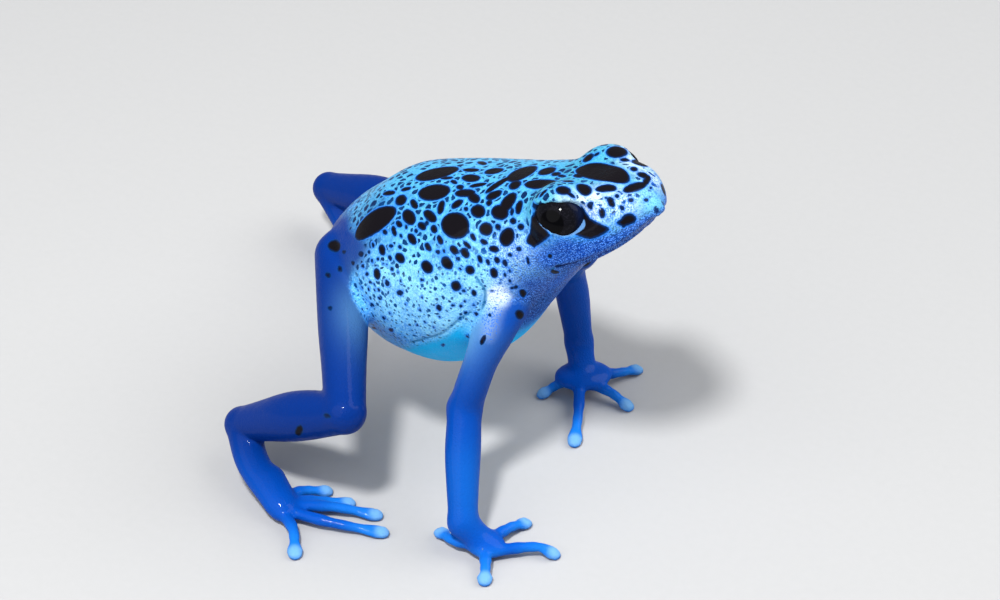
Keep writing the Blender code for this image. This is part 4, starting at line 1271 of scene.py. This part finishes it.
def net_group():
    """Rounded cells parted by lines: the distance to the Voronoi edges, less half the line's
    width, which grows by up to Draw from cell to cell, and less half the square of the
    distance from the cell's middle. Shade is a draw of each cell."""
    tree, given, result = new_group("skin net", ("Mask", "Shade"), Scale=1.3, Line=0.07, Draw=0.1)
    edges = voronoi_node(tree, given, "DISTANCE_TO_EDGE")
    cells = voronoi_node(tree, given)
    draws = wire(tree, tree.nodes.new("ShaderNodeSeparateColor"), i0=cells["Color"]).outputs
    line = math_node(tree, "MULTIPLY_ADD", draws[1], given["Draw"], given["Line"])
    past = math_node(tree, "SUBTRACT", edges["Distance"], line)
    round_off = times(tree, math_node(tree, "POWER", cells["Distance"], 2.0), 0.5)
    inside = math_node(tree, "SUBTRACT", past, round_off)
    wire(tree, result, Mask=math_node(tree, "MULTIPLY", inside, 12.0, clamp=True), Shade=draws[0])
    return tree


def group_node(tree, group, **values):
    """A group placed in a material with its own values."""
    node = tree.nodes.new("ShaderNodeGroup")
    node.node_tree = group
    return wire(tree, node, **values).outputs


def millimetres(tree, warp=0.0):
    """Object place in millimetres, bent a little by a slow noise."""
    place = tree.nodes.new("ShaderNodeTexCoord").outputs["Object"]
    scaled = tree.nodes.new("ShaderNodeVectorMath")
    scaled.operation = "MULTIPLY"
    place = wire(tree, scaled, i0=place, i1=(1 / MM,) * 3).outputs[0]
    if not warp:
        return place
    bend = tree.nodes.new("ShaderNodeVectorMath")
    bend.operation = "MULTIPLY_ADD"
    noise = noise_node(tree, place, 1.1, 2.0)
    return wire(tree, bend, i0=noise["Color"], i1=(warp,) * 3, i2=place).outputs[0]


def material(name, roughness, coat, coat_roughness, bump):
    """Material with a Principled shader whose even values are set on its own sockets."""
    made = bpy.data.materials.new(name)
    made.use_nodes = True
    tree = made.node_tree
    shader = tree.nodes["Principled BSDF"]
    wire(tree, shader, Roughness=roughness, Coat_Weight=coat, Coat_Roughness=coat_roughness)
    bumps = tree.nodes.new("ShaderNodeBump")
    bumps.inputs["Distance"].default_value = bump
    tree.links.new(bumps.outputs[0], shader.inputs["Normal"])
    return made, tree, shader, bumps


def times(tree, first, *others):
    """Output of a product."""
    for other in others:
        first = math_node(tree, "MULTIPLY", first, other)
    return first


def skin_material(look):
    """Moist skin. Over the ground colour lie a net of light lines round dark cells on the back,
    dots of three sizes on the flanks, flecks on the pale patches, granules on the cheeks whose
    tops are painted paler, partly their own colour and partly a painted highlight, with painted
    shade in the gaps between them, and the large spots, black in the middle, navy towards the
    edge and with a saturated blue margin. Painted shade darkens the creases, the mouth line and
    the nostrils. Fine granules catch the light."""
    dots, grain = shared_group("skin dots"), shared_group("skin grain")
    made, tree, shader, bumps = material("frog_skin", 0.42, 0.12, 0.05, 0.00007)
    shader.inputs["Specular IOR Level"].default_value = 0.02
    place = millimetres(tree)
    bent = millimetres(tree, 0.5)
    names = ("net", "speckle", "grit", "size", "fleck")
    net, speckle, grit, size, fleck = (attribute(tree, name) for name in names)
    wavy = math_node(tree, "MULTIPLY_ADD", noise_node(tree, place, WAVE_SCALE, 3.0)[0],
                     0.16, -0.08)
    edge = math_node(tree, "ADD", attribute(tree, "spots"), wavy)
    fine = group_node(tree, grain, Place=place, Scale=GRAIN_SCALE, Unevenness=0.9)
    speck = noise_node(tree, place, SPECK_SCALE, 2.0, 0.6)[0]

    slow = noise_node(tree, place, SLOW_SCALE, 4.0)[0]
    shade = times(tree, ramp_node(tree, slow, 0.42, 0.72, 0.0, 0.45), speckle)
    colour = colour_mix(tree, shade, attribute(tree, "ground", "Color"), look.shade)
    light = times(tree, ramp_node(tree, speck, 0.5, 0.64), speckle, 0.4)
    colour = colour_mix(tree, light, colour, look.light)
    deep = times(tree, ramp_node(tree, speck, 0.48, 0.38), speckle, 0.35)
    colour = colour_mix(tree, deep, colour, look.margin)

    line = math_node(tree, "MULTIPLY_ADD", net, -0.19, 0.18)
    cells = group_node(tree, shared_group("skin net"), Place=bent, Scale=NET_SCALE, Line=line,
                       Draw=0.05)
    dark = colour_mix(tree, ramp_node(tree, cells["Shade"], 0.1, 0.9), look.cell, look.dot)
    clear = ramp_node(tree, edge, 0.10, 0.2)
    netted = ramp_node(tree, net, 0.02, 0.2)
    colour = colour_mix(tree, times(tree, cells["Mask"], netted, clear), colour, dark)

    few = times(tree, speckle, clear)
    for scale, least, most, gain, strength in DOTS:
        spread = math_node(tree, "MULTIPLY_ADD", size, gain, most)
        sown = group_node(tree, dots, Place=bent, Scale=scale, Least=least, Most=spread,
                          Softness=0.10)
        ink = colour_mix(tree, sown["Shade"], look.ink, look.cell)
        ink = colour_mix(tree, times(tree, fleck, 0.6), ink, look.margin)
        colour = colour_mix(tree, times(tree, sown["Mask"], few, strength), colour, ink)

    broken = noise_node(tree, place, FLECK_SCALE, 2.0, 0.6)[0]
    split = math_node(tree, "MULTIPLY_ADD", fleck, 0.17, 0.37)
    split = math_node(tree, "SUBTRACT", broken, split)
    blue = times(tree, ramp_node(tree, split, 0.03, -0.05), ramp_node(tree, fleck, 0.0, 0.3))
    colour = colour_mix(tree, times(tree, blue, 0.8), colour, look.margin)

    pores = group_node(tree, grain, Place=place, Scale=PORE_SCALE, Unevenness=1.1)
    # Tops of the granules painted paler: partly their own colour and partly a painted highlight.
    top = ramp_node(tree, pores["Height"], 0.2, 0.75)
    colour = colour_mix(tree, times(tree, top, grit, 0.85), colour, look.granule_and_glint)
    # Painted shade in the gaps between the granules.
    low = ramp_node(tree, pores["Height"], 0.2, 0.0)
    colour = colour_mix(tree, times(tree, low, grit, 0.4), colour, look.shadow)

    margin = ramp_node(tree, edge, 0.2, 0.02, 0.0, 0.7)
    colour = colour_mix(tree, times(tree, margin, attribute(tree, "body")), colour, look.margin)
    inner = colour_mix(tree, ramp_node(tree, edge, 0.0, -0.10), look.cell, look.dot)
    inner = colour_mix(tree, ramp_node(tree, edge, -0.08, -0.26), inner, look.spot)
    spot = ramp_node(tree, edge, 0.05, -0.05)
    colour = colour_mix(tree, spot, colour, inner)
    # Painted shade darkens the creases, the mouth line and the nostrils; the lid edge is its own
    # pale colour.
    for name, start, end, strength, paint in (
            ("rim", 0.06, -0.06, 1.0, look.rim), ("crease", 0.14, 0.0, 0.85, look.crease_shade),
            ("mouth", 0.17, 0.02, 0.95, look.shadow)):
        near = ramp_node(tree, attribute(tree, name), start, end, 0.0, strength)
        colour = colour_mix(tree, near, colour, paint)
    tree.links.new(colour, shader.inputs["Base Color"])

    relief = times(tree, fine["Height"], math_node(tree, "MULTIPLY_ADD", grit, 0.8, 0.25),
                   ramp_node(tree, spot, 0.0, 1.0, 1.0, 0.4))
    tree.links.new(relief, bumps.inputs["Height"])
    rough = ramp_node(tree, fine["Mottle"], 0.3, 0.7, 0.36, 0.52)
    tree.links.new(rough, shader.inputs["Roughness"])
    return made


def eye_material(look):
    """Near-black wet eye: a round pupil about its axis, a dark bronze iris with fine flecks, and
    gloss.
    """
    made, tree, shader, bumps = material("frog_eye", 0.12, 0.14, 0.02, 0.000004)
    shader.inputs["Specular IOR Level"].default_value = 0.0
    place = millimetres(tree)
    lean = attribute(tree, "lean")
    fleck = group_node(tree, shared_group("skin grain"), Place=place, Scale=6.0, Unevenness=1.0)
    iris = colour_mix(tree, ramp_node(tree, fleck["Height"], 0.3, 0.9), look.iris, look.iris_fleck)
    ring = ramp_node(tree, lean, 1.15, 0.8)
    colour = colour_mix(tree, ring, look.white, iris)
    colour = colour_mix(tree, ramp_node(tree, lean, 0.50, 0.42), colour, look.pupil)
    tree.links.new(colour, shader.inputs["Base Color"])
    tree.links.new(fleck["Height"], bumps.inputs["Height"])
    return made


def stage_material(name, colour):
    """Pale matt board with a faint mottle."""
    made, tree, shader, bumps = material(name, 0.85, 0.0, 0.3, 0.00001)
    fine = group_node(tree, shared_group("skin grain"), Place=millimetres(tree), Scale=0.6,
                      Unevenness=0.6)
    darker = tuple(0.96 * part for part in colour)
    tree.links.new(colour_mix(tree, fine["Mottle"], colour, darker), shader.inputs["Base Color"])
    tree.links.new(fine["Height"], bumps.inputs["Height"])
    return made


def shared_group(name):
    """One of the node groups that the materials share, built once."""
    makers = {"skin dots": dots_group, "skin grain": grain_group, "skin net": net_group}
    return bpy.data.node_groups.get(name) or makers[name]()


def colour_property(label, text, value):
    """A colour that a user may change."""
    return bpy.props.FloatVectorProperty(name=label, description=text, subtype="COLOR",
                                         default=value, min=0.0, max=1.0)


def length_property(label, text, value, least=0.0):
    """A length in metres that a user may change."""
    return bpy.props.FloatProperty(name=label, description=text, default=value, min=least,
                                   unit="LENGTH", subtype="DISTANCE", precision=5)


def angle_property(label, text, degrees):
    """An angle that a user may change."""
    return bpy.props.FloatProperty(name=label, description=text, default=math.radians(degrees),
                                   subtype="ANGLE")


def power_property(label, text, watts):
    """Power of a light that a user may change."""
    return bpy.props.FloatProperty(name=label, description=text, default=watts, unit="POWER")


class FrogSkinSettings(bpy.types.PropertyGroup):
    """Colours and sizes of the skin."""
    # Painted reflection: this teal is partly the back's own colour and partly a painted reflection
    # of green surroundings.
    back: colour_property("Back", "Ground colour of the back", (0.075, 0.40, 0.68))
    flank: colour_property("Flank", "Ground colour of the flanks", (0.07, 0.40, 0.90))
    pale: colour_property("Pale flank", "Palest ground of the flanks", (0.28, 0.72, 1.0))
    # Painted highlights: this white also serves the wet highlights painted on the upper lid and
    # before the eye.
    white: colour_property("White", "Whitish patches", (0.80, 0.94, 1.0))
    belly: colour_property("Belly", "Ground colour of the belly", (0.001, 0.52, 1.0))
    # Painted shade: this dark blue is partly the rump's own colour and partly painted shade.
    rump: colour_property("Rump", "Ground colour of the rump", (0.001, 0.032, 0.23))
    cheek: colour_property("Cheek", "Ground colour of the cheeks and throat", (0.006, 0.085, 0.54))
    face: colour_property("Face", "Ground colour of the snout", (0.045, 0.33, 0.47))
    # Painted shade: this dark blue is partly the limbs' own colour and partly painted shade.
    limb: colour_property("Limb", "Ground colour of the limbs", (0.001, 0.025, 0.19))
    # Painted highlight: this colour also lightens the arms, partly as a painted highlight.
    hand: colour_property("Hand", "Colour of the hands and feet", (0.001, 0.068, 0.42))
    digit: colour_property("Digit", "Colour of the digits", (0.008, 0.16, 0.62))
    tip: colour_property("Tip", "Colour of the digit tips", (0.17, 0.40, 0.70))
    shade: colour_property("Shade", "Slow shading of the ground", (0.015, 0.16, 0.72))
    cell: colour_property("Cell", "Cells between the lines of the net", (0.002, 0.035, 0.13))
    ink: colour_property("Ink", "Lighter dots of the flanks", (0.003, 0.075, 0.27))
    dot: colour_property("Dot", "Small dots and the edges of the spots", (0.001, 0.015, 0.07))
    spot: colour_property("Spot", "Middle of the large spots", (0.005, 0.004, 0.006))
    margin: colour_property("Margin", "Saturated margins of the spots", (0.012, 0.15, 0.72))
    # Pale granule tops, partly their own colour and partly a painted highlight.
    granule_and_glint: colour_property("Granule", "Fine pale granules", (0.11, 0.34, 1.0))
    light: colour_property("Light flecks", "Fine light flecks of the flanks", (0.45, 0.85, 1.0))
    # Painted shade of the mouth line, the nostrils and the gaps between granules.
    shadow: colour_property("Shadow", "Mouth line and gaps between granules", (0.001, 0.012, 0.09))
    rim: colour_property("Lid edge", "Edge of the lower lid", (0.10, 0.24, 0.50))
    # Painted shade at the bottom of the creases.
    crease_shade: colour_property("Fold", "Bottom of the creases", (0.001, 0.14, 0.35))
    cell_size: length_property("Cell size", "Spacing of the skin's mesh", 0.00024, 0.0001)


class FrogEyeSettings(bpy.types.PropertyGroup):
    """Size and colours of the eyes."""
    radius: length_property("Radius", "Radius of the eye ball", 0.0026, 0.001)
    cornea: length_property("Cornea", "How far the clear front stands out", 0.00006)
    pupil: colour_property("Pupil", "Colour of the pupil", (0.001, 0.001, 0.0015))
    iris: colour_property("Iris", "Colour of the iris", (0.004, 0.004, 0.006))
    iris_fleck: colour_property("Iris flecks", "Flecks in the iris", (0.009, 0.009, 0.013))
    white: colour_property("Edge", "Colour round the iris", (0.004, 0.008, 0.03))


class FrogStageSettings(bpy.types.PropertyGroup):
    """Camera, lights and floor."""
    azimuth: angle_property("Azimuth", "Turn of the camera round the frog", 35.0)
    elevation: angle_property("Elevation", "Height of the camera over the horizon", 36.0)
    distance: length_property("Distance", "From the camera to the frog", 0.27)
    lens: bpy.props.FloatProperty(
        name="Lens", description="Focal length in millimetres", default=100.0,
        subtype="DISTANCE_CAMERA")
    floor: colour_property("Floor", "Colour of the floor", (0.45, 0.45, 0.45))
    key: power_property("Key light", "Power of the key light", 2.0)
    fill: power_property("Fill light", "Power of the fill light", 14.5)
    rim: power_property("Rim light", "Power of the light from the far side", 6.4)
    ambient: bpy.props.FloatProperty(
        name="Surroundings", description="Strength of the even light all round", default=0.36)


class FROG_OT_skin(bpy.types.Operator):
    """Makes the one skin that covers the body, head and limbs"""
    bl_idname = "frog.skin"
    bl_label = "Skin"

    def execute(self, context):
        look, view = context.scene.frog_skin, context.scene.frog_stage
        eye_radius = context.scene.frog_eyes.radius / MM
        form = frog_form(view, eye_radius)

        def distance(points):
            return skin_distance(points, form, eye_radius)

        carve(form, view, distance)
        points, normals, quads = shaped(look.cell_size / MM, distance)
        skin = new_mesh("frog_skin", points, quads.tolist())
        for name, values in markings(points, normals, form, look, view, distance).items():
            write_values(skin, name, values)
        skin.data.materials.append(skin_material(look))
        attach(skin, "root")
        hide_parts(*[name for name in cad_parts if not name.startswith("eye_")])
        return {"FINISHED"}


def carve(form, view, distance):
    """Adds to the form the nostrils, each a slit in a low bump, the creases, and the mouth
    line, laid on the skin by steps of -value * gradient / |gradient|^2."""
    for sizes, blend, kind in ((NOSTRIL_BUMP, NOSTRIL_BUMP_BLEND, "head"),
                               (NOSTRIL_SIZE, NOSTRIL_BLEND, "holes")):
        nostril = cast([NOSTRIL], view, distance)[0][0]
        for place in both_sides(nostril):
            form[kind].append((ball(place, (FORE, SIDE, UP), sizes), blend))
    size = (CREASE_RADIUS, CREASE_RADIUS)
    for pixels in CREASES:
        path, found = cast(pixels, view, distance)
        for laid in both_sides(path[found]):
            crease = tube(laid, (0.0, 1.0), size, size, FLOOR_UP, 60)
            form["creases"].append((crease, CREASE_BLEND))
    line = np.array(mouth_path(0.0, 0.0))
    for _ in range(4):
        value, gradient = slope_of(line, distance)
        line = line - (value / (gradient ** 2).sum(axis=1))[:, None] * gradient
    groove = (MOUTH_GROOVE, MOUTH_GROOVE)
    form["mouth"].append((tube(line, (0.0, 1.0), groove, groove, UP, 160), MOUTH_BLEND))


def shaped(size, distance):
    """Points, normals and quads of the skin."""
    axes = [grid_lines(stretches, size) for stretches in GRID]
    points, quads = surface_nets(axes, settled(sampled(axes, distance)))
    points, normals = relaxed(points, quads, distance)
    return points, normals, quads


def markings(points, normals, form, look, view, distance):
    """Values that the skin's material reads at each point: ground colour, distances to the
    spots, creases, mouth line and lid edge, and where each kind of pattern shows. The creases,
    the mouth line and the nostrils are darkened from these distances with painted shade."""
    base = ground_colours(points, look, distance, view)
    level, face, cheek = base["level"], base["face"], base["cheek"]
    along = body_terms(points)[0]
    cover = (1 - base["limb"]) * (1 - cheek)
    netted = ramp(level, *NET_LEVEL) * ramp(along, *NET_ALONG) * (1 - 0.7 * face)
    hushed = (1 - 0.6 * face) * (1 - base["under"]) * (1 - 0.8 * base["patch"])
    creases = [(shape, 0.01) for shape, _ in form["creases"]]
    return {
        "ground": base["ground"],
        "spots": spot_field(points, normals, view, distance),
        "net": cover * netted,
        "speckle": cover * (1 - 0.7 * netted) * ramp(level, *DOTS_LEVEL) * hushed,
        "size": ramp(level, *SIZE_LEVEL),
        "fleck": base["fleck"],
        "body": 1 - base["limb"],
        "grit": np.clip((0.04 + 0.95 * cheek + 0.2 * face) * (1 - base["limb"]), 0.0, 1.0),
        # Painted shade: the creases are darkened from this distance.
        "crease": joined(points, creases),
        # Painted shade: the mouth line and the nostril holes are darkened from this distance.
        "mouth": np.minimum(joined(points, form["mouth"]),
                            joined(points, form["holes"]) + NOSTRIL_SHADE_REACH),
        "rim": outline_field((LID_EDGE,), points, view, distance),
    }


class FROG_OT_eyes(bpy.types.Operator):
    """Makes both eyes"""
    bl_idname = "frog.eyes"
    bl_label = "Eyes"

    def execute(self, context):
        look = context.scene.frog_eyes
        made = eye_material(look)
        for side, word in ((RIGHT, "right"), (LEFT, "left")):
            eye = make_eye(side, word, look)
            eye.data.materials.append(made)
            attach(eye, "root")
            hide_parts("eye_" + word)
        return {"FINISHED"}


def make_eye(side, word, look, rows=72, columns=96):
    """Eye ball about its outward axis. The radius is R + cornea exp(-(lean / spread)^2), where
    lean is the angle from the axis."""
    centre, outward, forward, upward = eye_frame(side)
    lean = np.linspace(0.0, math.pi, rows + 1)[1:-1, None]
    turn = np.linspace(0.0, 2 * math.pi, columns, endpoint=False)[None, :]
    radius = (look.radius + look.cornea * np.exp(-(lean / CORNEA_SPREAD) ** 2)) / MM
    parts = (radius * np.sin(lean) * np.cos(turn), radius * np.sin(lean) * np.sin(turn),
             radius * np.cos(lean) * np.ones_like(turn))
    ring = sum(part[..., None] * axis for part, axis in zip(parts, (forward, upward, outward)))
    tips = [outward * (look.radius + look.cornea) / MM, -outward * look.radius / MM]
    points = centre + np.concatenate([ring.reshape(-1, 3), np.array(tips)])
    grid = np.arange(ring.shape[0] * columns).reshape(-1, columns)
    beside = np.roll(grid, -1, axis=1)
    quads = np.stack([grid[:-1], grid[1:], beside[1:], beside[:-1]], axis=-1).reshape(-1, 4)
    top, bottom = len(points) - 2, len(points) - 1
    caps = [[top, int(a), int(b)] for a, b in zip(grid[0], beside[0])]
    caps += [[bottom, int(b), int(a)] for a, b in zip(grid[-1], beside[-1])]
    faces = quads.tolist() + caps
    if side == LEFT:
        faces = [face[::-1] for face in faces]
    eye = new_mesh("frog_eye_" + word, points, faces)
    write_values(eye, "lean", np.append(lean * np.ones_like(turn), [0.0, math.pi]))
    return eye


class FROG_OT_stage(bpy.types.Operator):
    """Makes the floor, the lights and the camera"""
    bl_idname = "frog.stage"
    bl_label = "Stage"

    def execute(self, context):
        stage = context.scene.frog_stage
        corners = np.array([[x, y, FLOOR_LEVEL] for x, y in ((-1, -1), (1, -1), (1, 1), (-1, 1))])
        corners[:, :2] *= FLOOR_HALF
        floor = new_mesh("floor", corners, [[0, 1, 2, 3]], smooth=False)
        floor.data.materials.append(stage_material("floor_board", tuple(stage.floor)))
        floor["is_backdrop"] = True
        for name, place, size in LIGHTS:
            add_light(name, place, size, getattr(stage, name))
        world = bpy.data.worlds.new("studio")
        world.use_nodes = True
        surroundings = world.node_tree.nodes["Background"]
        surroundings.inputs["Color"].default_value = (0.93, 0.96, 1.0, 1.0)
        surroundings.inputs["Strength"].default_value = stage.ambient
        context.scene.world = world
        context.scene.view_settings.view_transform = "Standard"
        place = view_axes(stage)[0]
        data = bpy.data.cameras.new("camera")
        data.lens, data.sensor_width = stage.lens, SENSOR
        data.clip_start, data.clip_end = 0.01, 10.0
        camera = bpy.data.objects.new("camera", data)
        camera.location = (place + SHIFT) * MM
        camera.rotation_euler = (math.pi / 2 - stage.elevation, 0.0, stage.azimuth)
        context.scene.collection.objects.link(camera)
        context.scene.camera = camera
        return {"FINISHED"}


def add_light(name, place, size, power):
    """Round soft light that faces the frog."""
    data = bpy.data.lights.new(name, "AREA")
    data.shape, data.size, data.energy = "DISK", size, power
    lamp = bpy.data.objects.new(name, data)
    back = unit(np.array(place) - LIGHT_TARGET)
    lamp.location = place
    lamp.rotation_euler = (math.acos(back[2]), 0.0, math.atan2(back[0], -back[1]))
    bpy.context.scene.collection.objects.link(lamp)


class FROG_PT_panel(bpy.types.Panel):
    """Lists the steps that make the frog"""
    bl_idname = "FROG_PT_panel"
    bl_label = "Poison dart frog"
    bl_space_type = "VIEW_3D"
    bl_region_type = "UI"
    bl_category = "Frog"

    def draw(self, context):
        for name in ("skin", "eyes", "stage"):
            self.layout.operator("frog." + name)
        for settings in (context.scene.frog_skin, context.scene.frog_eyes,
                         context.scene.frog_stage):
            box = self.layout.box()
            for name in settings.__annotations__:
                box.prop(settings, name)


CLASSES = (FrogSkinSettings, FrogEyeSettings, FrogStageSettings, FROG_OT_skin, FROG_OT_eyes,
           FROG_OT_stage, FROG_PT_panel)
SETTINGS = {"frog_skin": FrogSkinSettings, "frog_eyes": FrogEyeSettings,
            "frog_stage": FrogStageSettings}


def register():
    """Registers the classes and gives the scene its settings."""
    for made in CLASSES:
        bpy.utils.register_class(made)
    for name, made in SETTINGS.items():
        setattr(bpy.types.Scene, name, bpy.props.PointerProperty(type=made))


def unregister():
    """Takes the settings and the classes away again."""
    for name in SETTINGS:
        delattr(bpy.types.Scene, name)
    for made in reversed(CLASSES):
        bpy.utils.unregister_class(made)


def main():
    """Makes every piece in order."""
    register()
    bpy.ops.frog.skin()
    bpy.ops.frog.eyes()
    bpy.ops.frog.stage()
    boxes = {"cad": CAD_BOX, "visual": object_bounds()}
    {name: [list(corner) for corner in box] for name, box in boxes.items()}


if __name__ == "__main__":
    main()
